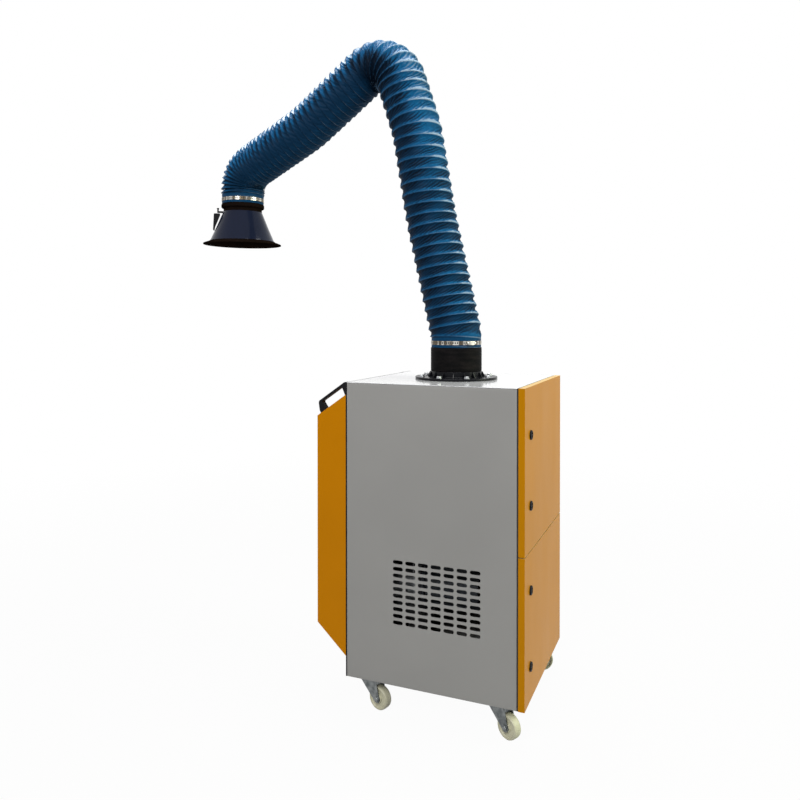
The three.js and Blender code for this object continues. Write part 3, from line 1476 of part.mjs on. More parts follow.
// Joint centres in the part's frame, for whoever rigs the model
const toWorld = (frame, point = [0, 0, 0]) => frame.localToWorld(new THREE.Vector3(...point)).toArray();
const axisOf = (frame, axis) => new THREE.Vector3(...axis).transformDirection(frame.matrixWorld).toArray();
group.userData.pivots = {
  arm: { at: toWorld(arm), axis: [0, 0, 1] },
  shoulder: { at: toWorld(lowerFrame), axis: axisOf(arm, [0, 1, 0]) },
  elbow: { at: toWorld(upperFrame), axis: axisOf(arm, [0, 1, 0]) },
  hood: { at: toWorld(hood), axis: axisOf(arm, [0, 1, 0]) },
  damper: { at: toWorld(hoodGrip, [0, 0, damperShaft]), axis: axisOf(hoodGrip, [1, 0, 0]) },
  fan: { at: toWorld(group, [scrollFront, fanAxisY, fanAxisZ]), axis: [1, 0, 0] },
  doors: { at: toWorld(group, [hingeX, hingeY, 0]), axis: [0, 0, 1] },
  locks: lockHeights.map((z) => ({ at: toWorld(group, [doorFront, lockY, z]), axis: [1, 0, 0] })),
  start: { at: toWorld(startFrame), axis: axisOf(slope, [0, 0, -1]) },
  stop: { at: toWorld(stopFrame), axis: axisOf(slope, [0, 0, -1]) },
  switch: { at: toWorld(switchFrame), axis: axisOf(slope, [0, 0, 1]) },
  castors: castorPlaces.map(([x, y], i) => {
    const turn = rad(castorAngles[i]);
    const axle = [x + trail * Math.cos(turn), y + trail * Math.sin(turn), axleZ];
    return {
      swivel: toWorld(group, [x, y, forkTop]),
      wheel: toWorld(group, axle),
      axis: [-Math.sin(turn), Math.cos(turn), 0],
    };
  }),
};

export default group;
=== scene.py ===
"""A mobile welding fume extractor, dressed for a photograph.

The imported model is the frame. Each section makes one piece or a group of like pieces, in
the order in which the machine is put together. Metres in the scene, millimetres in a piece.
"""
import math

import bmesh
import bpy
import numpy as np
from mathutils import Matrix, Vector


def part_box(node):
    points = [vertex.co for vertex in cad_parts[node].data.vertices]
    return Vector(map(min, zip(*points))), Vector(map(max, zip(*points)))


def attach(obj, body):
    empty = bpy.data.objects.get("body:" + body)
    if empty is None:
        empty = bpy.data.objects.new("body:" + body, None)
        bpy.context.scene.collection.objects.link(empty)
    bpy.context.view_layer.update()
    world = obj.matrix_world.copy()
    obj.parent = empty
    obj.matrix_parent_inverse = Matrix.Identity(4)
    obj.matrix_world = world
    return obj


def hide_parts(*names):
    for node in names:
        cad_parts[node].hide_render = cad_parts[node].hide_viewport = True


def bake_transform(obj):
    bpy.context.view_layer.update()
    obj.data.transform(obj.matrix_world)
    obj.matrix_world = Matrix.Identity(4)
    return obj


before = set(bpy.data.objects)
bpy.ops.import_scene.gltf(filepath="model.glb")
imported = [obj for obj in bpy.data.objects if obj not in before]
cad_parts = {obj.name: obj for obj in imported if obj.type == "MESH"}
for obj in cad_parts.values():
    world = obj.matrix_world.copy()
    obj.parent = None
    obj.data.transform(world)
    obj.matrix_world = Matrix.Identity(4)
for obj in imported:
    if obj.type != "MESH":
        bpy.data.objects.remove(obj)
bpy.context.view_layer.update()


# Base pan. A folded steel tray with a low flange, powder coated like the side panels.
# The four castors bolt up into it, and the whole cabinet is screwed down onto it.
MM = 0.001
base_low, base_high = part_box("base_frame")
CABINET = (Matrix.Translation(((base_low.x + base_high.x) / 2, (base_low.y + base_high.y) / 2, base_low.z))
           @ Matrix.Scale(MM, 4))
BODY_WIDE, BODY_DEEP, BODY_HIGH = 551.0, 548.0, 940.0


class Wire:
    """One socket in a material. Arithmetic on it adds Math nodes; node() adds any other."""

    def __init__(self, tree, socket=None):
        self.tree, self.socket = tree, socket

    def node(self, kind, settings=None, sockets=None, out=0):
        made = self.tree.nodes.new("ShaderNode" + kind)
        for name, value in (settings or {}).items():
            setattr(made, name, value)
        for name, value in (sockets or {}).items():
            if isinstance(value, Wire):
                self.tree.links.new(value.socket, made.inputs[name])
            else:
                made.inputs[name].default_value = value
        return Wire(self.tree, made.outputs[out])

    def maths(self, operation, first, second=0.0):
        return self.node("Math", {"operation": operation}, {0: first, 1: second})

    def __add__(self, other):
        return self.maths("ADD", self, other)

    def __sub__(self, other):
        return self.maths("SUBTRACT", self, other)

    def __rsub__(self, other):
        return self.maths("SUBTRACT", other, self)

    def __mul__(self, other):
        return self.maths("MULTIPLY", self, other)

    def __pow__(self, other):
        return self.maths("POWER", self, other)

    __radd__, __rmul__ = __add__, __mul__

    def clamped(self):
        return self.node("Clamp", {}, {0: self})

    def steps(self, low, high):
        """0 below low, 1 above high, smooth between."""
        return self.node("MapRange", {"interpolation_type": "SMOOTHSTEP"}, {0: self, 1: low, 2: high})

    def mixed(self, first, second):
        """A colour that goes from first to second as this value goes from 0 to 1."""
        return self.node("Mix", {"data_type": "RGBA"}, {0: self, 6: first, 7: second}, out=2)

    def place(self):
        return self.node("TexCoord", out="Object")

    def noise(self, scale, detail=2.0, stretch=(1.0, 1.0, 1.0)):
        where = self.node("Mapping", {}, {"Vector": self.place(), "Scale": stretch})
        return self.node("TexNoise", {}, {"Vector": where, "Scale": scale, "Detail": detail})

    def bumped(self, height, strength, depth, **under):
        return self.node("Bump", {}, {"Height": height, "Strength": strength, "Distance": depth, **under})


def tone(red, green, blue):
    """A colour as linear light from its 0 to 255 screen values."""
    return (*(((c / 255 + 0.055) / 1.055) ** 2.4 if c > 10 else c / 255 / 12.92
              for c in (red, green, blue)), 1.0)


def finish(name, recipe=None, **constants):
    """A material: recipe draws what varies over it, constants are the same all over.
    Without a recipe it decorates one, and takes its place."""
    if recipe is None:
        return lambda drawn: finish(name, drawn, **constants)
    material = bpy.data.materials.new(name)
    material.use_nodes = True
    shader = material.node_tree.nodes["Principled BSDF"]
    for label, value in constants.items():
        shader.inputs[label.replace("_", " ")].default_value = value
    for label, wire in recipe(Wire(material.node_tree)).items():
        material.node_tree.links.new(wire.socket, shader.inputs[label])
    return material


def surface(colour, roughness, normal):
    return {"Base Color": colour, "Roughness": roughness, "Normal": normal}


def powder_coat(colour, gloss, peel=0.12):
    """Powder coat: a faint cloudiness, orange peel, and a film of handling marks."""
    def recipe(coat):
        cloud = coat.noise(2.2, 3.0)
        speck = coat.noise(700.0, 1.0)
        smear = coat.noise(9.0, 4.0, (1.0, 1.0, 0.25))
        darker, lighter = ((*(c * share for c in colour[:3]), 1.0) for share in (0.93, 1.05))
        return surface((cloud * 0.7 + speck * 0.3).steps(0.25, 0.75).mixed(darker, lighter),
                       gloss + (smear - 0.5) * 0.12, coat.bumped(coat.noise(330.0), peel, 0.0006))
    return recipe


def soften(obj, width=0.7, segments=2, angle=32):
    """Breaks a piece's sharp edges, as a press brake, a mould or a file leaves them."""
    bevel = obj.modifiers.new("edges", "BEVEL")
    bevel.width, bevel.segments = width * MM, segments
    bevel.limit_method, bevel.angle_limit = "ANGLE", math.radians(angle)
    bevel.use_clamp_overlap = True
    bevel.harden_normals = True


def shade(mesh, angle=32):
    for face in mesh.faces:
        face.smooth = True
    for edge in mesh.edges:
        edge.smooth = edge.calc_face_angle(0.0) < math.radians(angle)


def set_down(name, data):
    obj = bpy.data.objects.new(name, data)
    bpy.context.scene.collection.objects.link(obj)
    return obj


def stored(name, mesh):
    data = bpy.data.meshes.new(name)
    mesh.to_mesh(data)
    mesh.free()
    return data


def piece(name, mesh, material, body, stands_for=(), at=CABINET, shaded=32, outward=True):
    """Places a mesh in millimetres, welds it, gives it its finish, and has it ride its body."""
    bmesh.ops.remove_doubles(mesh, verts=mesh.verts, dist=0.001)
    bmesh.ops.transform(mesh, matrix=at, verts=mesh.verts)
    if outward:
        bmesh.ops.recalc_face_normals(mesh, faces=mesh.faces)
    shade(mesh, shaded)
    obj = set_down(name, stored(name, mesh))
    for one in material if isinstance(material, list) else [material]:
        obj.data.materials.append(one)
    if body:
        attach(obj, body)
    if stands_for:
        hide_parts(*stands_for)
    return obj


def softened(node, name, material, width=0.7, segments=2, body="cabinet"):
    """A sheet or cast piece of the frame with its edges broken, in place of the sharp one."""
    mesh = bmesh.new()
    mesh.from_mesh(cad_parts[node].data)
    bmesh.ops.remove_doubles(mesh, verts=mesh.verts, dist=0.00001)
    bmesh.ops.dissolve_limit(mesh, angle_limit=math.radians(1.0), verts=mesh.verts, edges=mesh.edges)
    soften(piece(name, mesh, material, body, (node,), Matrix.Identity(4), outward=False), width, segments)


grey_coat = finish("grey_powder_coat", powder_coat(tone(143, 142, 140), 0.46), Specular_IOR_Level=0.2)
softened("base_frame", "base_pan", grey_coat)


# Castors. A pressed top plate with four bolts and a ball race, a pressed fork that trails
# behind the kingpin, and a turned cream nylon wheel on a bolt. All steel is zinc plated.
def mottled(first, second, cloud, gloss, grain, bump, span=None, wear=None):
    """A recipe for a plain finish. Cloud and grain are noises, and wear a list of them. Cloud
    drives the colour from one tone to the other, wear or else grain the roughness, grain the bump."""
    def recipe(coat):
        tint, rough = coat.noise(*cloud), gloss[0]
        for share, noise in zip(gloss[1:], wear or [grain]):
            rough = rough + coat.noise(*noise) * share
        return surface((tint.steps(*span) if span else tint).mixed(tone(*first), tone(*second)), rough,
                       coat.bumped(coat.noise(*grain), *bump))
    return recipe


def zinc_plate(dark, bright):
    scratch = (420.0, 2.0, (1.0, 1.0, 0.12))
    return mottled(dark, bright, cloud=(60.0, 3.0), span=(0.3, 0.7), gloss=(0.24, 0.16, 0.08),
                   wear=[(60.0, 3.0), scratch], grain=scratch, bump=(0.12, 0.0003))


nylon = finish("cream_nylon", mottled(
    (190, 187, 162), (140, 134, 112), cloud=(14.0, 4.0), span=(0.45, 0.85), gloss=(0.38, 0.2), grain=(46.0, 5.0),
    bump=(0.15, 0.0005)), IOR=1.53)


def turned(profile, segments=64):
    """A lathe piece about Z from its (radius, height) profile, closed or reaching the axis."""
    mesh = bmesh.new()
    points = [mesh.verts.new((radius, 0.0, height)) for radius, height in profile]
    edges = [mesh.edges.new(pair) for pair in zip(points, points[1:]) if pair[0] != pair[1]]
    bmesh.ops.spin(mesh, geom=points + edges, axis=(0, 0, 1), angle=2 * math.pi, steps=segments,
                   use_merge=True)
    bmesh.ops.remove_doubles(mesh, verts=mesh.verts, dist=0.001)
    bmesh.ops.recalc_face_normals(mesh, faces=mesh.faces)
    return mesh


def rounded(mesh, edges, radius, segments):
    bmesh.ops.bevel(mesh, geom=edges, offset=radius, offset_type="OFFSET", affect="EDGES", segments=segments,
                    profile=0.5, material=-1)


def moved(mesh, by, drawn=None):
    """Moves a mesh, or only the new corners that an extrusion gave."""
    verts = mesh.verts if drawn is None else [v for v in drawn["geom"] if isinstance(v, bmesh.types.BMVert)]
    bmesh.ops.translate(mesh, vec=by, verts=verts)


def sawn(low, high, corner=0.0, segments=3, edges="Z"):
    """A block between two corners, with its edges along one axis rounded."""
    mesh = bmesh.new()
    bmesh.ops.create_cube(mesh, size=1.0)
    low, high = Vector(low), Vector(high)
    bmesh.ops.scale(mesh, vec=high - low, verts=mesh.verts)
    moved(mesh, (low + high) / 2)
    if corner:
        axis = {"X": 0, "Y": 1, "Z": 2}[edges]
        along = [e for e in mesh.edges if abs((e.verts[0].co - e.verts[1].co).normalized()[axis]) > 0.9]
        rounded(mesh, along, corner, segments)
    return mesh


def hexagon(radius, low, high):
    """A bolt head or nut about Z, chamfered at its outer face."""
    mesh = bmesh.new()
    bmesh.ops.create_cone(mesh, cap_ends=True, segments=6, radius1=radius, radius2=radius, depth=high - low)
    moved(mesh, (0, 0, (low + high) / 2))
    rounded(mesh, [e for e in mesh.edges if min(v.co.z for v in e.verts) > high - 0.01], radius * 0.12, 1)
    return mesh


def cut_out(points, low, high):
    """A flat outline in XZ, pulled to a thickness between two places along Y."""
    mesh = bmesh.new()
    face = mesh.faces.new([mesh.verts.new((a, low, b)) for a, b in points])
    moved(mesh, (0, high - low, 0), bmesh.ops.extrude_face_region(mesh, geom=[face], use_keep_orig=True))
    bmesh.ops.recalc_face_normals(mesh, faces=mesh.faces)
    return mesh


def gathered(*parts):
    """Several worked parts as one piece. A part may come with the matrix that places it."""
    whole = bmesh.new()
    for part in parts:
        mesh, at = part if isinstance(part, tuple) else (part, Matrix.Identity(4))
        bmesh.ops.transform(mesh, matrix=at, verts=mesh.verts)
        loose = stored("loose", mesh)
        whole.from_mesh(loose)
        bpy.data.meshes.remove(loose)
    return whole


def spot(x=0.0, y=0.0, z=0.0, turn=0.0, about="Z"):
    return Matrix.Translation((x, y, z)) @ Matrix.Rotation(math.radians(turn), 4, about)


zinc = finish("zinc_plated_steel", zinc_plate((150, 152, 155), (196, 198, 200)), Metallic=1.0)
dull_zinc = finish("dull_zinc_plate", zinc_plate((88, 92, 93), (128, 131, 131)), Metallic=1.0)
TRAIL, WHEEL_ROUND, AXLE_HIGH, KINGPIN = 36.0, 36.7, -68.2, (212.0, 220.0)
FORK_GAP, FORK_SHEET = 16.0, 3.0
for number, (side_x, side_y, heading) in enumerate([(-1, -1, -17), (1, -1, -27), (1, 1, 25), (-1, 1, 160)], 1):
    foot = CABINET @ spot(side_x * KINGPIN[0], side_y * KINGPIN[1])
    swivel = foot @ spot(turn=heading)

    bolts = [(hexagon(6.0, 0.0, 4.5), spot(x, y, -3.2, 180, "X")) for x in (-36, 36) for y in (-24, 24)]
    plate = gathered(
        sawn((-46, -33, -3.3), (46, 33, -0.3), 9.0, 5),
        turned([(0, -3.2), (30, -3.2), (30, -4.2), (27, -6.4), (20, -7.0), (0, -7.0)], 48),
        turned([(0, -7), (8.5, -7), (8.5, -11.8), (7, -12.4), (0, -12.4)], 32), *bolts)
    soften(piece(f"castor_mount_{number}", plate, zinc, "cabinet", (f"castor_plate_{number}",), foot), 0.4)

    crown = -14.6
    drop = AXLE_HIGH - crown
    cheek = [(-31, 3), (31, 3), (34, -6), (TRAIL + 11.6, drop), (TRAIL + 8.5, drop - 8.5), (TRAIL, drop - 12),
             (TRAIL - 8.5, drop - 8.5), (-28, -10), (-31, -7)]
    sides = []
    for hand in (-1, 1):
        inner, outer = hand * FORK_GAP, hand * (FORK_GAP + FORK_SHEET)
        axle_end = spot(TRAIL, outer, AXLE_HIGH, -90 * hand, "X")
        sides += [(cut_out(cheek, min(inner, outer), max(inner, outer)), spot(z=crown)),
                  (hexagon(8.5, 0.0, 5.0), axle_end),
                  (turned([(0, 0), (10.5, 0), (10.5, 1.2), (0, 1.2)], 32), axle_end)]
    axle = (turned([(0, -19), (4.6, -19), (4.6, 19), (0, 19)], 32), spot(TRAIL, 0, AXLE_HIGH, 90, "X"))
    fork = gathered(
        sawn((-31, -19, crown), (31, 19, crown + 3), 8.0, 4),
        turned([(11, crown + 2.6), (29, crown + 2.6), (30, crown + 4.4), (28, crown + 9.6), (24, -4.2),
                (11, -4.2)], 48),
        axle, *sides)
    soften(piece(f"castor_yoke_{number}", fork, dull_zinc, f"castor_swivel_{number}",
                 (f"castor_fork_{number}",), swivel), 0.8)

    half = 14.0
    outer_half = [(5.4, half), (12.5, half), (13.5, half - 1), (13.8, half - 4.5), (27, half - 5), (28.6, half - 4),
                  (30.4, half - 0.8), (33.6, half - 0.6), (35.6, half - 2.4), (36.4, half - 5), (WHEEL_ROUND, half - 9)]
    rim = turned([(far, -wide) for far, wide in outer_half] + outer_half[::-1] + [(5.4, -half)], 72)
    piece(f"castor_tyre_{number}", gathered((rim, spot(TRAIL, 0, AXLE_HIGH, 90, "X"))), nylon,
          f"castor_roller_{number}", (f"castor_wheel_{number}",), swivel)


# Side panels. Sheet steel, folded in at every edge and powder coated light grey. The near
# one is punched with the exhaust grille: ten rows of seven obround slots.
SHEET_HIGH, FLANGE, FOLD_ROUND, BORDER = BODY_HIGH - 2.3, 22, 2.6, 18.0
GRILLE_X, GRILLE_Z, SLOT_STEP_X, SLOT_STEP_Z, SLOT_LONG, SLOT_HIGH = 25.5, 293.0, 41.5, 20.9, 33.0, 12.0


def obround(mesh, centre_x, centre_z, long, high):
    """The edges of one punched slot in the plane of the panel."""
    ring = bmesh.ops.create_circle(mesh, segments=20, radius=high / 2)["verts"]
    bmesh.ops.rotate(mesh, matrix=Matrix.Rotation(math.pi / 2, 3, "X"), verts=ring)
    for vert in ring:
        vert.co.x += math.copysign((long - high) / 2, vert.co.x) if abs(vert.co.x) > 1e-4 else 0.0
    bmesh.ops.translate(mesh, vec=(centre_x, 0, centre_z), verts=ring)
    return list({edge for vert in ring for edge in vert.link_edges})


def near_side():
    panel = bmesh.new()
    bmesh.ops.create_grid(panel, x_segments=1, y_segments=1, size=0.5)
    bmesh.ops.rotate(panel, matrix=Matrix.Rotation(math.pi / 2, 3, "X"), verts=panel.verts)
    bmesh.ops.scale(panel, vec=(BODY_WIDE, 1, SHEET_HIGH), verts=panel.verts)
    moved(panel, (0, 0, SHEET_HIGH / 2))
    main = panel.faces[:][0]
    folds = panel.edges[:]
    moved(panel, (0, FLANGE, 0), bmesh.ops.extrude_edge_only(panel, edges=folds))
    bmesh.ops.inset_region(panel, faces=[main], thickness=BORDER, depth=0.0)
    border = main.edges[:]
    bmesh.ops.delete(panel, geom=[main], context="FACES_ONLY")
    slots = []
    for column in range(7):
        for row in range(10):
            slots += obround(panel, GRILLE_X + (column - 3) * SLOT_STEP_X, GRILLE_Z + (row - 4.5) * SLOT_STEP_Z,
                             SLOT_LONG, SLOT_HIGH)
    bmesh.ops.triangle_fill(panel, use_beauty=True, use_dissolve=False, edges=border + slots, normal=(0, -1, 0))
    rounded(panel, [e for e in folds if e.is_valid], FOLD_ROUND, 4)
    moved(panel, (0, -BODY_DEEP / 2, 0))
    bmesh.ops.recalc_face_normals(panel, faces=panel.faces)
    flipped = [f for f in panel.faces if f.calc_center_median().y < -BODY_DEEP / 2 + 0.01 and f.normal.y > 0]
    if flipped:
        bmesh.ops.reverse_faces(panel, faces=panel.faces)
    return panel


near_panel = piece("near_side_skin", near_side(), grey_coat, "cabinet", ("near_side_panel",),
                   outward=False)
thickness = near_panel.modifiers.new("sheet", "SOLIDIFY")
thickness.thickness, thickness.offset = 2.0 * MM, -1.0
soften(near_panel, 0.35, 2, 50)
softened("far_side_panel", "far_side_skin", grey_coat, 0.9)


# Pan screws. Small plated pan-head screws with a cross recess, driven up into the base pan
# beside the castor plates.
def pan_screw(radius, rise):
    head = turned([(0, rise), (radius * 0.45, rise * 0.96), (radius * 0.8, rise * 0.7), (radius, rise * 0.2),
                   (radius, -0.2), (0, -0.2)], 24)
    recess = [sawn((-x, -y, rise * 0.9), (x, y, rise * 1.04)) for x, y in ((radius * 0.5, 0.45), (0.45, radius * 0.5))]
    return gathered(head, *recess)


screws = [(pan_screw(4.6, 2.6), spot(x, y, 0, 180, "X"))
          for x in (-254, 152) for y in (12 - BODY_DEEP / 2, BODY_DEEP / 2 - 12)]
piece("panel_screws", gathered(*screws), zinc, "cabinet")


# Top panel, end plate and cover. The top is a glossy off-white sheet, the end plate is
# black and shows only as a seam, and the cover over the control end is folded yellow steel.
light_coat = finish("light_gloss_coat", powder_coat(tone(200, 200, 203), 0.14, 0.05), IOR=1.5, Coat_Weight=0.3)
# The cover's yellow is a little brighter than the doors': painted light, as the cover stands further from the key lamp.
yellow_coat = finish("yellow_powder_coat", powder_coat(tone(186, 117, 0), 0.36), Specular_IOR_Level=0.06)
black_steel = finish("black_coated_steel", mottled(
    (20, 20, 23), (30, 30, 33), cloud=(6.0,), gloss=(0.42, 0.16), grain=(900.0,),
    bump=(0.2, 0.0002)), Specular_IOR_Level=0.1)

softened("top_panel", "top_skin", light_coat, 1.2, 3)
softened("end_plate", "end_skin", black_steel, 0.5)
softened("control_cover", "end_cover", yellow_coat, 1.6, 3)


# Door end. A grey welded frame with two openings and a foam rubber seal, and two folded
# yellow doors on weld-on pin hinges, with a narrow gap between them.
seal_foam = finish("foam_rubber", mottled(
    (14, 14, 15), (34, 34, 36), cloud=(1400.0,), span=(0.3, 0.7), gloss=(0.8, 0.15), grain=(1400.0,),
    bump=(0.5, 0.0004)))


@finish("door_powder_coat", Specular_IOR_Level=0.06)
def door_coat(coat):
    """The same yellow, a little greener, and paler along the edges that face up: a painted highlight."""
    wires = powder_coat(tone(180, 118, 0), 0.36)(coat)
    # Faces that point up are mixed towards pale cream: a painted highlight of the light from above.
    top_face_highlight = coat.node("SeparateXYZ", {}, {0: coat.node("TexCoord", out="Normal")}, out=2).steps(0.7, 0.95)
    wires["Base Color"] = top_face_highlight.mixed(wires["Base Color"], tone(190, 158, 98))
    return wires


softened("door_frame", "door_surround", grey_coat, 0.8)
softened("door_seal", "foam_seal", seal_foam, 1.2)
for level in ("upper", "lower"):
    softened(level + "_door", level + "_door_skin", door_coat, 1.6, 3, level + "_door_leaf")


# Door locks. Black quarter-turn locks: a round head with a slotted recess outside, and a
# steel tongue inside that swings behind the frame.
black_plastic = finish("black_moulding", mottled(
    (15, 15, 17), (30, 30, 33), cloud=(30.0, 4.0), gloss=(0.34, 0.2), wear=[(30.0, 4.0)], grain=(1100.0,),
    bump=(0.25, 0.00015)), Specular_IOR_Level=0.07)
LOCK_Y = -BODY_DEEP / 2 + 74.0
for number, height in enumerate((796.0, 585.0, 332.0, 104.0), 1):
    low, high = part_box(f"door_lock_{number}")
    face = (high.x - CABINET.translation.x) / MM - 5.0
    head = turned([(0, 1.6), (7.5, 1.6), (8.4, 2.4), (9.2, 4.6), (10.5, 5.0), (13.2, 4.6), (14.3, 3.0), (14.5, 0.0),
                   (9, 0), (9, -22), (0, -22)], 48)
    bar = sawn((-7.2, -1.5, 1.2), (7.2, 1.5, 4.6), 0.5, 2)
    tongue = sawn((-8, -47, -3), (8, 9, 0), 3.0, 3)
    shaft = turned([(0, 0), (5, 0), (5, -34), (0, -34)], 24)
    inside = (low.x - high.x) / MM + 5.0
    lock = gathered(head, bar, shaft, (tongue, spot(z=inside + 3.0)))
    seat = CABINET @ spot(face, LOCK_Y, height) @ spot(turn=90, about="Y") @ spot(turn=90)
    soften(piece(f"quarter_turn_{number}", lock, black_plastic, f"lock_{number}",
                 (f"door_lock_{number}",), seat), 0.3)


# Inner walls and drawer. Bare galvanised sheet: the tube sheet, the chamber floor, the
# baffle under the inlet, and the dust drawer.
@finish("galvanised_sheet", Metallic=0.85)
def galvanised(coat):
    cells = coat.node("TexVoronoi", {"feature": "F1"}, {"Vector": coat.place(), "Scale": 95.0}, out="Color")
    flake = coat.node("SeparateColor", {}, {0: cells}, out=0)
    dust = coat.noise(7.0, 4.0)
    return surface(flake.mixed(tone(140, 143, 146), tone(182, 185, 188)),
                   0.3 + flake * 0.18 + dust * 0.12, coat.bumped(flake, 0.08, 0.0002))


for node, name in (("tube_sheet", "tube_plate"), ("chamber_floor", "chamber_tray"),
                   ("baffle_plate", "inlet_baffle"), ("dust_drawer", "dust_bin")):
    softened(node, name, galvanised, 0.5)


# Filter cartridge. Pleated polyester paper between two pressed end caps, held on the tube
# sheet by a threaded rod with a star knob.
paper = finish("pleated_paper", mottled(
    (222, 217, 198), (190, 182, 160), cloud=(11.0, 4.0), span=(0.3, 0.8), gloss=(0.85, 0.1),
    grain=(520.0, 4.0, (0.2, 1.0, 1.0)), bump=(0.3, 0.0004)))
filter_low, filter_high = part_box("filter_cartridge")
filter_long = (filter_high.x - filter_low.x) / MM
filter_round = (filter_high.z - filter_low.z) / MM / 2
filter_seat = (spot(filter_low.x, (filter_low.y + filter_high.y) / 2, (filter_low.z + filter_high.z) / 2, 90, "Y")
               @ Matrix.Scale(MM, 4))
PLEATS = 110
star = bmesh.new()
bmesh.ops.create_circle(star, segments=2 * PLEATS, radius=filter_round - 5)
for number, vert in enumerate(star.verts):
    if number % 2:
        vert.co *= 1 - 24 / filter_round
bmesh.ops.create_circle(star, segments=2 * PLEATS, radius=100.0)
bmesh.ops.bridge_loops(star, edges=star.edges[:])
moved(star, (0, 0, filter_long - 20), bmesh.ops.extrude_face_region(star, geom=star.faces[:], use_keep_orig=True))
moved(star, (0, 0, 10))
piece("filter_pleats", star, paper, "cabinet", ("filter_cartridge",), filter_seat)
R, L = filter_round, filter_long
caps = gathered(
    turned([(92, 0), (R - 2, 0), (R, 2), (R, 13), (R - 3, 14), (R - 4, 12), (92, 12), (92, 0)], 96),
    turned([(8, L - 10), (60, L - 10), (66, L - 3), (R - 16, L - 3), (R - 10, L), (R - 2, L), (R, L - 2), (R, L - 14),
            (R - 3, L - 15), (R - 4, L - 12), (8, L - 12), (8, L - 10)], 96))
piece("filter_caps", caps, galvanised, "cabinet", (), filter_seat)
softened("clamp_screw", "star_knob", black_plastic, 0.8)


# Fan and air line. A spiral sheet housing with an inlet cone, a pressed impeller, a finned
# cast motor, and the air tank with its diaphragm valve. Seen through the grille.
cast_grey = finish("painted_casting", mottled(
    (56, 60, 66), (78, 83, 90), cloud=(5.0, 3.0), gloss=(0.42, 0.2), grain=(240.0, 3.0), bump=(0.35, 0.0005)))
softened("blower_housing", "fan_scroll", galvanised, 0.5)
softened("inlet_cone", "fan_inlet", galvanised, 0.5)
softened("impeller", "fan_rotor", galvanised, 0.4, body="fan_wheel")
softened("fan_motor", "motor_casting", cast_grey, 1.2)
softened("air_tank", "air_receiver", cast_grey, 1.0)
softened("pulse_valve", "valve_and_pipe", galvanised, 0.8)


# Bridge handles. Two glass-filled nylon handles moulded in one piece and screwed onto the
# slope of the cover from inside. One leg carries on down over the slope's lower fold.
SLOPE_RUN, SLOPE_FALL = 102.3, 71.0
SLOPE = CABINET @ Matrix.Translation((-BODY_WIDE / 2 - 4 - SLOPE_RUN / 2, 0, 900 - SLOPE_FALL / 2)) @ Matrix.Rotation(
    -math.atan2(SLOPE_FALL, SLOPE_RUN), 4, "Y")
slope_half = math.hypot(SLOPE_RUN, SLOPE_FALL) / 2
grip = [(-60, 0.4), (-60, 12), (-57, 19), (-49, 35), (-45.5, 39.5), (-41, 41), (68, 41), (71.5, 39.6),
        (73.4, 36.5), (slope_half - 0.4, 0.4), (46, 0.4), (51.5, 27), (51.6, 31), (49, 33), (-32, 33), (-35, 31.6),
        (-36, 28.5), (-36, 0.4)]
for side, place in (("near", -238.0), ("far", 238.0)):
    soften(piece(f"{side}_grip", cut_out(grip, -12.0, 12.0), black_plastic, "cabinet",
                 (f"{side}_handle",), SLOPE @ spot(y=place)), 2.2, 4, 40)


# Controls. A plain plate on the slope with a start and a stop button in metal bezels, a
# running lamp and a rotary main switch. The plate carries no marks.
def clean_gloss(bright, dark):
    return mottled(bright, dark, cloud=(40.0, 3.0), gloss=(0.22, 0.12), wear=[(300.0, 3.0)], grain=(160.0,),
                   bump=(0.06, 0.0004))


BRUSHED_ALONG = (1.0, 0.02, 1.0)
brushed = finish("brushed_plate", mottled(
    (170, 172, 175), (200, 202, 205), cloud=(300.0, 3.0, BRUSHED_ALONG), gloss=(0.3, 0.2),
    wear=[(260.0, 2.0, BRUSHED_ALONG)], grain=(700.0, 2.0, BRUSHED_ALONG), bump=(0.1, 0.0002)), Metallic=1.0)
plate_top = 2.3
plate = sawn((-42, -120, 0.3), (42, 120, plate_top), 5.0, 4)
rings = [(turned([(15, 0), (15, 3.6), (13.6, 5), (12, 5), (11.6, 4.4), (11.6, 0), (15, 0)], 48), spot(y=y, z=plate_top))
         for y in (-30, 30)]
fixings = [(pan_screw(3.2, 1.8), spot(x, y, plate_top)) for x in (-35, 35) for y in (-112, 112)]
lamp_ring = (turned([(14, 0), (14, 2.4), (12.8, 3.4), (11, 3.4), (11, 0), (14, 0)], 48), spot(y=90, z=plate_top))
soften(piece("control_panel", gathered(plate, *rings, *fixings, lamp_ring), brushed, "cabinet",
             ("control_plate",), SLOPE), 0.3)
lens_green = finish("lamp_lens", clean_gloss((30, 130, 60), (22, 104, 48)), Coat_Weight=0.8)
piece("running_lamp", turned([(0, 0), (10.8, 0), (10.8, 4), (10.2, 6), (8, 7.8), (4, 8.9), (0, 9.2)], 48), lens_green,
      "cabinet", (), SLOPE @ spot(y=90, z=plate_top))
for body, place, bright, dark, slot in (("start", -30, (28, 122, 58), (22, 104, 48), "green_cap"),
                                        ("stop", 30, (176, 34, 26), (150, 26, 20), "red_cap")):
    low = plate_top + 4.3
    cap = turned([(0, low + 6.6), (7.6, low + 6.8), (9.4, low + 8), (10.4, low + 7.6), (11, low + 6.4), (11, low),
                  (7, low), (7, low - 20), (0, low - 20)], 48)
    plastic = finish(body + "_cap_plastic", clean_gloss(bright, dark), Coat_Weight=0.3)
    piece(body + "_cap", cap, plastic, body, (body + "_button",), SLOPE @ spot(y=place))
base = plate_top + 0.3
knob = gathered(
    turned([(0, base + 9), (16, base + 9.4), (18.6, base + 8.6), (20, base + 6), (20, base), (6.5, base),
            (6.5, -9), (0, -9)], 64),
    sawn((-19.6, -4.5, base + 4), (19.6, 4.5, base + 24), 4.0, 4, "Y"),
    sawn((13, -0.8, base + 23.4), (18, 0.8, base + 24.3)))
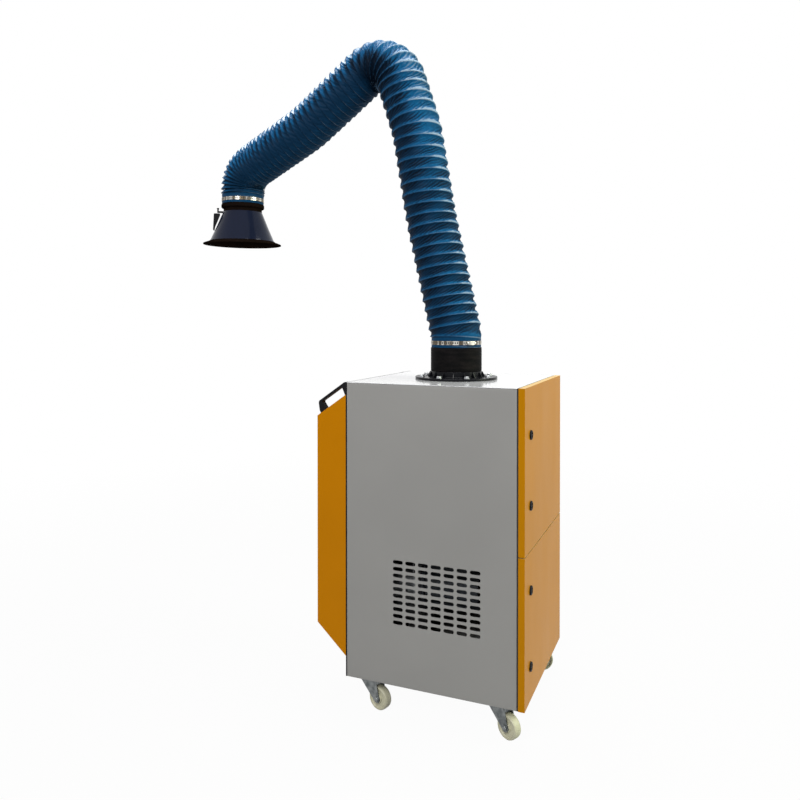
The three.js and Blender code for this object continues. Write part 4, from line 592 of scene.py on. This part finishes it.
soften(piece("rotary_switch", knob, black_plastic, "switch", ("main_switch",), SLOPE @ spot(y=-90)),
       0.9, 3)


# Cable gland and air nipple on the cover's lower slope. A black nylon gland with a domed
# nut, and a plated steel quick-coupling nipple.
softened("cable_gland", "gland_nut", black_plastic, 0.6)
softened("air_nipple", "air_coupling", zinc, 0.4)


# Arm flange. A black coated casting on the cabinet's top: a disc with a raised collar,
# sixteen thin gussets and eight plated bolts.
ARM_TURN, TOP = 170.0, BODY_HIGH
ARM = CABINET @ spot(z=TOP, turn=ARM_TURN)
flange_black = finish("black_gloss_coat", mottled(
    (8, 9, 12), (18, 19, 24), cloud=(5.0, 3.0), gloss=(0.16, 0.1, 0.1), wear=[(5.0, 3.0), (260.0, 3.0)],
    grain=(260.0, 3.0), bump=(0.08, 0.0003)), Specular_IOR_Level=0.12)
disc = turned([(79.8, 0.3), (137, 0.3), (138, 1.3), (138, 7.3), (137, 8.3), (88.6, 8.3), (87, 10), (87, 24.8),
               (85.6, 26.3), (81.2, 26.3), (79.8, 25), (79.8, 0.3)], 128)
web = [(86, 6.5), (98, 6.5), (98, 8.6), (88.5, 25.4), (86, 25.4)]
webs = [(cut_out(web, -1.6, 1.6), spot(turn=22.5 * i)) for i in range(16)]
soften(piece("arm_base_flange", gathered(disc, *webs), flange_black, "cabinet", ("arm_flange",), ARM),
       0.5)
heads = []
for i in range(8):
    seat = spot(turn=45 * i) @ spot(118, 0, 8.3)
    heads += [(hexagon(8.0, 1.4, 6.8), seat), (turned([(0, 0), (9.6, 0), (9.6, 1.4), (0, 1.4)], 32), seat)]
soften(piece("flange_bolts", gathered(*heads), zinc, "cabinet", (), ARM), 0.3)


# Swivel sleeve. A turned tube that runs in the flange, wrapped in a black rubberised boot
# with fine moulded rings. The shoulder's cheeks stand on a bridge across its bore.
boot_rubber = finish("ringed_rubber", mottled(
    (11, 11, 12), (27, 24, 24), cloud=(18.0, 4.0, (1.0, 1.0, 4.0)), span=(0.35, 0.8), gloss=(0.5, 0.2),
    wear=[(18.0, 4.0, (1.0, 1.0, 4.0))], grain=(800.0,), bump=(0.25, 0.0003)), Specular_IOR_Level=0.03)
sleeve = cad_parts["swivel_sleeve"].data.materials
sleeve.clear()
sleeve.append(black_plastic)
boot = [(84.05, 27.2)]
RING_STEP = 4.4
for i in range(17):
    z = 27.6 + i * RING_STEP
    boot += [(85.2, z), (86.0, z + RING_STEP * 0.28), (86.1, z + RING_STEP * 0.55), (85.3, z + RING_STEP * 0.8)]
boot += [(85.4, 105.2), (84.05, 105.8), (84.05, 27.2)]
piece("sleeve_boot", turned(boot, 128), boot_rubber, "arm_base", (), ARM, shaded=60)


# Inner arm. Two aluminium tubes with forked heads and pinned friction joints. They carry
# the hose from inside and are seen only down its bore.
DRAWN_ALONG = (1.0, 1.0, 0.05)
aluminium = finish("drawn_aluminium", mottled(
    (176, 178, 182), (206, 208, 211), cloud=(500.0, 2.0, DRAWN_ALONG), gloss=(0.28, 0.16),
    grain=(500.0, 2.0, DRAWN_ALONG), bump=(0.1, 0.0002)), Metallic=1.0)
softened("lower_arm", "lower_arm_tube", aluminium, 0.6, body="inner_arm")
softened("upper_arm", "upper_arm_tube", aluminium, 0.6, body="outer_arm")


# Hose. Coated blue fabric over a spring steel helix. The cloth is drawn tight over each
# turn of wire, hangs in slack slanting folds between two turns, and gathers where the arm
# bends. Its line follows the arm: corners in the arm's plane, rounded by arcs.
# The cloth's light and shade are painted: each point carries a fold shade, from which the cloth is darkened or made
# pale.
SHOULDER = np.array((0.0, 150.0))
LOWER_LONG, UPPER_LONG, HOOD_DROP, HOOD_LEAN = 992.0, 804.3, 291.0, 1.0
LOWER_LEAN, UPPER_FALL, hood_lean = (math.radians(angle) for angle in (14.6, 23.06, HOOD_LEAN))
lower_way = np.array((math.sin(LOWER_LEAN), math.cos(LOWER_LEAN)))
upper_way = np.array((math.cos(UPPER_FALL), -math.sin(UPPER_FALL)))
hood_way = np.array((math.sin(hood_lean), -math.cos(hood_lean)))
ELBOW = SHOULDER + LOWER_LONG * lower_way
HOOD_PIVOT = ELBOW + UPPER_LONG * upper_way
CREST, BORE, CUFF_BORE, CUFF, CUFF_LONG = 89.0, 76.0, 78.3, 83.2, 30.0
SPIGOT_TOP, COLLAR_TOP = 106.0, 166.0


def beside(foot, way, long, along, aside):
    side = np.array((way[1], -way[0]))
    return foot + along * long * way + aside * CREST * side * np.sign(side[0])


hose_drop = HOOD_DROP - COLLAR_TOP - 0.3
corners = [
    (np.array((0.0, SPIGOT_TOP + 0.3)), 0),
    (SHOULDER, 110),
    (beside(SHOULDER, lower_way, LOWER_LONG, 0.412, -0.06), 1200),
    (beside(SHOULDER, lower_way, LOWER_LONG, 0.732, -0.317), 500),
    (beside(SHOULDER, lower_way, LOWER_LONG, 1.057, -0.01), 110),
    (beside(ELBOW, upper_way, UPPER_LONG, 0.537, -0.067), 600),
    (HOOD_PIVOT, 1.098 * (hose_drop - CUFF_LONG)),
    (HOOD_PIVOT + hose_drop * hood_way, 0),
]
line = [corners[0][0]]
for (before, _), (corner, radius), (after, _) in zip(corners, corners[1:], corners[2:]):
    arriving = (corner - before) / np.linalg.norm(corner - before)
    leaving = (after - corner) / np.linalg.norm(after - corner)
    turn = math.atan2(arriving[0] * leaving[1] - arriving[1] * leaving[0], arriving @ leaving)
    reach = radius * math.tan(abs(turn) / 2)
    hub = corner - reach * arriving + radius * np.sign(turn) * np.array((-arriving[1], arriving[0]))
    spoke = corner - reach * arriving - hub
    for step in np.linspace(0, turn, 40):
        line.append(hub + np.array((spoke[0] * math.cos(step) - spoke[1] * math.sin(step),
                                    spoke[0] * math.sin(step) + spoke[1] * math.cos(step))))
line = np.array(line + [corners[-1][0]])


def read_off(at, known, values):
    return np.stack([np.interp(at, known, values[:, axis]) for axis in (0, 1)], axis=-1)


far = np.concatenate(([0.0], np.cumsum(np.linalg.norm(np.diff(line, axis=0), axis=1))))
stations = np.linspace(0.0, far[-1], 4001)
route = read_off(stations, far, line)
heading = np.pad(np.gradient(route, axis=0), ((12, 12), (0, 0)), mode="edge")
heading = np.stack([np.convolve(part, np.ones(25) / 25, mode="valid") for part in heading.T], axis=1)
heading /= np.linalg.norm(heading, axis=1)[:, None]


def nearest(point):
    return stations[np.argmin(np.linalg.norm(route - point, axis=1))]


cuts = [0.0, nearest(SHOULDER + 190 * lower_way), nearest(SHOULDER + (LOWER_LONG - 185) * lower_way),
        nearest(ELBOW + 175 * upper_way), nearest(ELBOW + (UPPER_LONG - 118) * upper_way), far[-1]]
AROUND, RING_ROWS = 288, 12
SEAM, FADE = 0.3, 14.0

# The wire's pitch along the hose: wide up the inner arm, close towards the hood
hose_first, hose_last = CUFF_LONG, far[-1] - CUFF_LONG
apex = nearest(ELBOW)
pitch = np.interp(stations, (0, 300, cuts[2] - 150, apex - 120, apex - 50, apex + 50, cuts[3], cuts[3] + 200,
                             cuts[4] - 60, cuts[4], far[-1]),
                  (31, 36, 40, 37, 26, 26, 29, 28, 25, 19, 13))
turns_run = np.concatenate(([0.0], np.cumsum((stations[1] - stations[0]) / pitch[1:])))
climbs = heading[:, 1]


def tube_points(at, around, radius):
    """Points in the arm's frame at a station along the hose and an angle round it."""
    centre, way = read_off(at, stations, route), read_off(at, stations, heading)
    way /= np.linalg.norm(way, axis=-1)[..., None]
    in_plane = radius * np.cos(around)
    return np.stack([centre[..., 0] - in_plane * way[..., 1], radius * np.sin(around),
                     centre[..., 1] + in_plane * way[..., 0]], axis=-1)


def sheet_tube(rows, columns, shape, winding=False):
    """A grid rolled into a tube. A row is a turn of the wire, or a station where nothing
    winds, and shape(station, angle) gives the places and how shaded each one lies."""
    roll = bmesh.new()
    layer = roll.loops.layers.uv.new("along_and_round")
    shaded = roll.verts.layers.float.new("fold_shade")
    bmesh.ops.create_grid(roll, x_segments=columns, y_segments=len(rows) - 1, size=0.5)
    flat = np.array([v.co[:] for v in roll.verts])
    row = np.asarray(rows)[np.rint((flat[:, 1] + 0.5) * (len(rows) - 1)).astype(int)]
    across = flat[:, 0] + 0.5
    at = np.interp(row + across, turns_run, stations) if winding else row
    points, shades = shape(at, across * 2 * math.pi)
    for vert, u, v, point, shade in zip(roll.verts, across, row, points, shades):
        for loop in vert.link_loops:
            loop[layer].uv = (u, v)
        vert.co = point
        vert[shaded] = shade
    bmesh.ops.remove_doubles(roll, verts=roll.verts, dist=0.0005)
    return roll


@finish("blue_coated_cloth", Specular_IOR_Level=0.045)
def blue_cloth(coat):
    """Blue coated fabric with a fine weave, and painted shade and highlights from the fold shade."""
    uv = coat.node("UVMap", {"uv_map": "along_and_round"})
    row = coat.node("SeparateXYZ", {}, {0: uv}, out=1)
    edge = coat.maths("ABSOLUTE", coat.maths("FRACT", row) - 0.5) * 2
    shade = coat.node("Attribute", {"attribute_name": "fold_shade"}, out="Fac")
    sides = coat.maths("COSINE", coat.node("SeparateXYZ", {}, {0: uv}) * (2 * math.pi)) ** 2.0
    # Painted highlight on each wire: only where the shade is light, and strongest at the tube's sides.
    wire = edge.steps(0.88, 0.98) * (1 - shade.steps(0.4, 0.7)) * (0.12 + 0.88 * sides)
    # Painted sheen where the fold shade is below zero.
    sheen = 1 - (shade + 1).steps(0.0, 1.0)
    streak = coat.noise(85.0, 4.0)
    dust = coat.noise(11.0, 4.0)
    weave = coat.noise(2400.0, 1.0)
    cloth = (dust * 0.5 + streak * 0.5).steps(0.3, 0.72).mixed(tone(8, 66, 106), tone(18, 86, 130))
    # Painted shade: the cloth darkens in two steps as the fold shade rises.
    cloth = shade.steps(0.1, 0.6).mixed(cloth, tone(9, 44, 71))
    cloth = shade.steps(0.5, 1.0).mixed(cloth, tone(3, 15, 29))
    # Both painted highlights, mixed towards a pale blue-white.
    painted_highlight = (wire * (0.05 + streak * 0.25) + sheen ** 1.4 * (0.75 + streak * 0.3)).clamped()
    creases = coat.bumped(streak, 0.35, 0.002)
    return surface(painted_highlight.mixed(cloth, tone(212, 226, 238)), 0.42 + streak * 0.2 - wire * 0.1,
                   coat.bumped(weave, 0.2, 0.0003, Normal=creases))


def ease(value, low, high):
    share = np.clip((value - low) / (high - low), 0.0, 1.0)
    return share * share * (3 - 2 * share)


def hose_length(name, node, start, end, bodies, outer_slack, inner_slack, fold, slant, folds):
    """One length of hose as a closed wall: folded cloth outside, smooth bore inside. The wire
    winds once round for each turn, so one strip of cloth runs from end to end, and along is
    how far round it a point lies. Waves whose counts don't divide keep its folds uneven."""
    def outside(station, theta):
        station = np.clip(station, start, end)
        turn = np.interp(station, stations, turns_run) - theta / (2 * math.pi)
        phase = turn - np.floor(turn)
        along = theta + 2 * math.pi * np.floor(turn)
        climb = np.interp(station, stations, climbs)
        hollow = np.sin(math.pi * phase ** np.maximum(1 + np.where(climb > 0, 0.75, 1.6) * climb, 0.38))
        outer_side = 0.5 + 0.5 * np.cos(theta)
        depth = inner_slack + (outer_slack - inner_slack) * outer_side
        loose = ease(-climb, -0.4, 0.3)
        depth *= 1 + (0.12 + 0.1 * loose) * (np.sin(1.37 * along + 0.7) + np.sin(3.71 * along + 2.2))
        drift = 1.5 * np.sin(2.31 * along) + 1.0 * np.sin(5.87 * along + 1.1) + 0.5 * np.sin(12.7 * along + 2.9)
        lean = 2 * math.pi * (slant + 0.45 * np.sin(0.83 * along + 1.9)) * phase
        broad = 0.5 + 0.5 * np.cos(folds * theta + lean + drift)
        fine = 0.5 + 0.5 * np.cos(round(folds * 1.7) * theta + 1.5 * lean - 1.4 * drift)
        strength = 0.75 + 0.25 * np.sin(4.3 * along + 1.3 * phase * math.pi)
        held = 0.12 + 0.3 * loose
        crease = (0.72 * broad ** 1.4 + 0.28 * fine ** 2) * strength
        crease *= (held + (1 - held) * np.sin(math.pi * phase) ** 0.5)
        above = np.where(climb > 0, phase, 1 - phase)
        radius = CREST - depth * hollow - fold * (0.6 + 0.4 * outer_side) * crease
        cuff = CUFF + 0.5 + 0.35 * np.sin(5 * theta) + 0.25 * np.sin(9 * theta)
        free = np.minimum(ease(station, hose_first, hose_first + FADE), ease(-station, -hose_last, FADE - hose_last))
        radius = cuff + (radius - cuff) * free
        # Painted light and shade for taut cloth, as light from above would fall: pale just above each wire, darker
        # below the next, darker in the creases and on the inner side.
        drawn = (0.4 * ease(above, 0.1, 0.4) + 0.12 * ease(above, 0.6, 1.0) + 1.15 * crease ** 1.4
                 + 0.2 * ease(-outer_side, -0.9, -0.45))
        # Painted highlights in thin slivers along both edges of the tube, just above each wire.
        sliver_highlight = ease(outer_side, 0.84, 0.98) * ease(0.04 + 0.2 * ease(outer_side, 0.85, 0.99) - above, 0.0, 0.1)
        sliver_highlight = np.maximum(sliver_highlight, ease(-outer_side, -0.13, -0.06) * ease(-above, -0.2, -0.06))
        drawn -= (drawn + 0.48) * sliver_highlight * (1 - 0.5 * crease)
        # Painted light: the outer side paler towards the elbow.
        elbow_highlight = ease(station, cuts[2] - 420, apex - 60)
        drawn -= 0.85 * elbow_highlight * ease(outer_side, 0.5, 0.97) * (1 - 0.35 * crease)
        drawn = np.maximum(drawn, -0.46)
        # Painted shade in the elbow's inner corner.
        corner = ease(-np.abs(station - apex - 30), -130, -20) * ease(-outer_side, -0.8, -0.5)
        lit = ease(outer_side, 0.26, 0.6)
        # Painted highlights: pale strokes between the wires near the top of slack cloth.
        lip = ease(phase, 0.4, 0.7) * ease(1 - phase, 0.0, 0.15) * (1.1 - crease)
        lip *= (0.5 + 0.5 * ease(outer_side, 0.4, 0.8))
        # Painted shade for slack cloth: dark all over, lighter where those strokes lie on the lit side, and a little
        # lighter at the underside's edge.
        slack = (0.64 - 0.12 * ease(-outer_side, -0.2, -0.08)
                 - lit * (1.1 * lip - 0.14 * ease(0.5 - phase, 0.0, 0.3) - 0.2 * crease))
        # Painted highlights: near-white facets in the hollows near the top edge.
        facet_highlight = ease(outer_side - 0.62 - 0.28 * phase, -0.02, 0.03) * ease(phase, 0.02, 0.1)
        facet_highlight *= ease(-outer_side, -1.0, -0.93)
        facet_highlight *= 1 - 0.5 * ease(-station, -apex - 190, -apex - 40)
        slack -= (slack + 1.0) * facet_highlight * (0.8 + 0.2 * np.sin(5.1 * along + 0.4))
        # The painted shade of taut and slack cloth blended by how the hose runs, with the corner's painted shade, and
        # even at the cuffs.
        shade = 0.42 + (drawn * (1 - loose) + slack * loose + 0.3 * corner - 0.42) * free
        return tube_points(station, theta, np.maximum(radius, BORE + 0.8)), np.minimum(shade, 1.0)

    def inside(station, theta):
        in_cuff = (station < hose_first + 1) | (station > hose_last - 1)
        return tube_points(station, theta, np.where(in_cuff, CUFF_BORE, BORE)), np.zeros_like(station)

    span = np.interp((start, end), stations, turns_run)
    marks = np.arange(math.floor((span[0] - 1) * RING_ROWS), math.ceil(span[1] * RING_ROWS) + 1) / RING_ROWS
    wall = gathered(
        sheet_tube(marks, AROUND, outside, winding=True),
        sheet_tube([start, *([hose_first + 2] if start < hose_first else []), *np.linspace(start, end, 26)[1:-1],
                    *([hose_last - 2] if end > hose_last else []), end], 48, inside))
    ends = ([], [])
    foot, head = (Vector(p) for p in tube_points(np.array([start, end]), np.zeros(2), 0.0))
    for edge in [e for e in wall.edges if e.is_boundary]:
        middle = (edge.verts[0].co + edge.verts[1].co) / 2
        ends[0 if (middle - foot).length < (middle - head).length else 1].append(edge)
    for rim in ends:
        bmesh.ops.bridge_loops(wall, edges=rim)
    obj = piece(name, wall, blue_cloth, None if bodies[1:] else bodies[0], (node,), ARM, shaded=75)
    if bodies[1:]:
        rims = [[ARM @ Vector(p) for p in tube_points(np.full(72, at), np.linspace(0, 2 * math.pi, 72), CREST)]
                for at in (max(start, hose_first), min(end, hose_last))]
        hub = [sum(rim, Vector()) / len(rim) for rim in rims]
        along = (hub[1] - hub[0]).normalized()
        begin = hub[0] + along * max((p - hub[0]) @ along for p in rims[0])
        finish_at = hub[1] + along * min((p - hub[1]) @ along for p in rims[1])
        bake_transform(obj)


for i, (name, node, bodies, *drape) in enumerate((
        ("hose_foot", "hose_base", ("arm_base", "inner_arm"), 7.0, 6.6, 4.6, 4.0, 24),
        ("hose_riser", "hose_lower", ("inner_arm",), 7.0, 6.6, 4.6, 4.0, 24),
        ("hose_bend", "hose_elbow", ("inner_arm", "outer_arm"), 8.4, 7.6, 4.6, 3.0, 22),
        ("hose_reach", "hose_upper", ("outer_arm",), 11.5, 3.6, 4.6, 1.8, 16),
        ("hose_tail", "hose_neck", ("outer_arm", "hood_head"), 9.5, 5.0, 5.0, 1.6, 16))):
    hose_length(name, node, cuts[i] + (SEAM if i else 0.0), cuts[i + 1], bodies, *drape)


# Hose clamps. Stainless worm-drive bands over the hose's cuffs: a slotted strap, a pressed
# housing and a hexagon-headed screw.
ROUND_BAND = (1.0, 1.0, 0.1)
# The strap's colour runs round the band in blocks, from bright steel to a dark olive brown: painted reflections of the
# surroundings.
strap = finish("strap_painted_reflections", mottled(
    (196, 192, 184), (98, 88, 72), cloud=(46.0, 1.0, ROUND_BAND), span=(0.42, 0.56), gloss=(0.2, 0.14),
    grain=(900.0, 2.0, ROUND_BAND), bump=(0.08, 0.0002)), Metallic=1.0)
# The slots' floors are near-black: painted shade for the holes.
slot_dark = finish("strap_slots", mottled(
    (18, 20, 24), (40, 42, 48), cloud=(90.0,), gloss=(0.6, 0.2), wear=[(300.0,)], grain=(500.0,), bump=(0.2, 0.0002)))


def worm_band():
    band = turned([(84.0, -6.5), (85.0, -6.5), (85.0, -3.8), (85.0, 3.8), (85.0, 6.5), (84.0, 6.5), (84.0, -6.5)], 144)
    at = {f: f.calc_center_median() for f in band.faces}
    outer = [f for f in at if abs(at[f].z) < 1 and f.normal.to_2d().length > 0.5 and at[f].to_2d().length > 84.6]
    outer.sort(key=lambda f: math.atan2(at[f].y, at[f].x))
    bmesh.ops.inset_individual(band, faces=outer[::2], thickness=0.5, depth=-0.45)
    for face in outer[::2]:
        face.material_index = 1
    housing = sawn((84.6, -12, -6), (97, 12, 6), 3.0, 4, "Z")
    screw = turned([(0, -17), (4.6, -17), (5, -16), (5, -12), (3, -12), (3, 12), (5.6, 12), (5.6, 15.6), (0, 16)], 24)
    return gathered(band, housing, (screw, spot(91.2, 0, 0, 90, "X")))


HOOD = ARM @ spot(HOOD_PIVOT[0], 0, HOOD_PIVOT[1], -HOOD_LEAN, "Y") @ spot(z=-HOOD_DROP)
for name, body, seat in (("base", "arm_base", ARM @ spot(z=SPIGOT_TOP + 16, turn=150)),
                         ("hood", "hood_head", HOOD @ spot(z=COLLAR_TOP + 16, turn=-90))):
    soften(piece(name + "_strap", worm_band(), [strap, slot_dark], body, (name + "_clamp",), seat), 0.2, 1)


# Hood. A glossy blue-black moulded cone with a rolled collar and a flat turned-out brim.
# A bracket inside its neck hangs it from the arm.
@finish("hood_moulding", Specular_IOR_Level=0.1)
def hood_blue(coat):
    flow = coat.noise(4.0, 3.0)
    scuff = coat.noise(60.0, 5.0, (1.0, 1.0, 0.4))
    return surface(flow.mixed(tone(14, 19, 34), tone(30, 36, 56)),
                   0.12 + flow * 0.06 + scuff.steps(0.55, 0.85) * 0.18, coat.bumped(scuff, 0.05, 0.0006))


# The lining under the brim, inside the cone and round the collar is near-black brown with no reflection: painted shade
# under the brim and inside the cone, and the collar's own dark colour.
hood_dark_lining = finish("hood_lining", mottled(
    (16, 11, 9), (30, 22, 18), cloud=(22.0, 4.0), gloss=(0.5, 0.3), grain=(22.0, 4.0),
    bump=(0.1, 0.0006)), Specular_IOR_Level=0.0)
skin = turned([(130.2, 15.1), (127, 19.5), (104, 71), (79.6, 130), (77.9, 134), (76.9, 134), (78.4, 129.8),
               (102.8, 70.8), (125.8, 19.3), (129, 14.8), (130.2, 15.1)], 128)
lining = turned([
    (156.5, 0.8), (156.5, 3.4), (155.6, 4.4), (150, 6.6), (136, 11.6), (130.4, 14.6), (128.8, 14.7), (125.6, 19.2),
    (102.6, 70.7), (78.3, 129.7), (76.8, 133.9), (77.2, 134.4), (77, 138), (77, 145), (78, 147), (84, 149.2),
    (85.6, 151), (86, 153), (86, 160), (85.6, 162.6), (84, 164.6), (79, 166), (77.6, 166.6), (77.6, 205.4), (77, 206),
    (74.6, 206), (74, 205.4), (74, 136), (77, 130), (101, 71), (124, 19), (127.6, 13), (133, 9), (152.6, 1.6),
    (154, 0.2), (156, 0.0), (156.5, 0.8)], 128)
bracket = gathered(
    sawn((-14, -75.5, 204), (14, 75.5, 212), 2.0, 2, "Y"),
    sawn((-14, -6, 206), (14, 6, HOOD_DROP), 1.5, 2, "Y"),
    (turned([(0, -6), (19.2, -6), (20, -5.2), (20, 5.2), (19.2, 6), (0, 6)], 48), spot(0, 0, HOOD_DROP, 90, "X")))
for name, mesh, material, nodes in (("skin", skin, hood_blue, ()), ("cone", lining, hood_dark_lining, ("hood",)),
                                    ("bracket", bracket, black_plastic, ())):
    piece("hood_" + name, mesh, material, "hood_head", nodes, HOOD, shaded=40)


# Hood handle and damper. A black moulded wedge to pull the hood by, on its near outer side,
# and a disc across the neck turned by a lever above the wedge.
GRIP = HOOD @ spot(turn=45)


def cone_at(z):
    return 130.6 + (77 - 130.6) * (z - 14) / (136 - 14)


wedge = [(cone_at(56) + 0.4, 56), (115, 57), (118, 59.4), (117.6, 62), (115.2, 122), (113.6, 124.6), (111, 125),
         (cone_at(125) + 9, 125), (cone_at(120) + 6.4, 120), (cone_at(72) + 4.4, 72)]
soften(piece("hood_grip", cut_out(wedge, -13, 13), black_plastic, "hood_head", ("hood_handle",), GRIP),
       2.0, 3, 25)
disc_round = 69.0
damper = gathered(
    (turned([(0, -1.25), (disc_round - 1, -1.25), (disc_round, -0.5), (disc_round, 0.5), (disc_round - 1, 1.25),
             (0, 1.25)], 72), spot(z=132, turn=90, about="X")),
    (turned([(0, -35), (4, -35), (4, 101), (3.4, 102), (0, 102)], 32), spot(z=132, turn=90, about="Y")),
    (turned([(0, 0), (3, 0), (3, 10), (4.6, 12), (4.6, 15.4), (3.6, 16), (0, 16)], 32), spot(99, 0, 132)))
piece("air_damper", damper, black_plastic, "damper", ("hood_damper",), GRIP)


# Studio. A plain pale floor, a wide soft key from the front left, a fill from the right,
# and a bright surround. The camera stands where the photograph's stood.
WHITE = (1.0, 1.0, 1.0, 1.0)


def rays(wire):
    """1 for a ray that sees the backdrop: straight, in a gloss or through a clear pane."""
    straight, gloss, through = (wire.node("LightPath", out=f"Is {kind} Ray")
                                for kind in ("Camera", "Glossy", "Transmission"))
    return (straight + gloss + through).clamped()


def joined(wire, share, first, second, output):
    """Two shaders mixed by a share, as what a material or a world gives out."""
    mixed = wire.node("MixShader", {}, {0: share, 1: first, 2: second})
    wire.tree.links.new(mixed.socket, wire.tree.nodes.new("ShaderNodeOutput" + output).inputs["Surface"])


floor_mesh = bmesh.new()
bmesh.ops.create_grid(floor_mesh, x_segments=1, y_segments=1, size=14.0)
floor = set_down("studio_floor", stored("studio_floor", floor_mesh))
DIRECT_SHARE = 0.965
floor_paint = bpy.data.materials.new("studio_floor")
floor_paint.use_nodes = True
floor_paint.node_tree.nodes.clear()
wire = Wire(floor_paint.node_tree)
far_off = wire.node("VectorMath", {"operation": "LENGTH"}, {0: wire.place()}, out="Value").steps(0.8, 4.5)
share = rays(wire) * (DIRECT_SHARE + far_off * (1 - DIRECT_SHARE))
paint = wire.node("BsdfDiffuse", {}, {"Color": (0.4, 0.4, 0.4, 1.0)})
glow = wire.node("Emission", {}, {"Color": WHITE})
joined(wire, share, paint, glow, "Material")
floor.data.materials.append(floor_paint)

world = bpy.data.worlds.new("studio")
bpy.context.scene.world = world
world.use_nodes = True
world.node_tree.nodes.clear()
air = Wire(world.node_tree)
surround = air.node("Background", {}, {"Color": WHITE, "Strength": 0.16})
backdrop = air.node("Background", {}, {"Color": WHITE})
joined(air, rays(air), surround, backdrop, "World")

middle = Vector((0.15, 0.0, 1.1))


def softbox(name, place, size, power, tint=(1.0, 1.0, 1.0)):
    data = bpy.data.lights.new(name, "AREA")
    data.shape, data.energy, data.color = "RECTANGLE", power, tint
    data.size, data.size_y = size
    lamp = set_down(name, data)
    lamp.location = place
    lamp.rotation_euler = (middle - Vector(place)).to_track_quat("-Z", "Y").to_euler()


softbox("key", (0.6, -4.4, 3.8), (2.6, 2.2), 215)
softbox("right_fill", (4.1, 0.5, 2.5), (2.0, 2.4), 130, (0.96, 1.05, 0.8))
softbox("overhead", (0.2, 0.7, 4.9), (2.6, 2.0), 175)

lens = bpy.data.cameras.new("camera")
lens.lens, lens.sensor_width, lens.shift_x, lens.shift_y = 33.08, 36.0, 0.0, -0.0934
lens.clip_end = 60.0
camera = set_down("camera", lens)
camera.location = CABINET @ Vector((783.9, -2366.1, 1141.4))
camera.rotation_euler = (math.pi / 2 - 0.0087, 0.0, 0.3963)
bpy.context.scene.camera = camera
bpy.context.scene.view_settings.view_transform = "Standard"
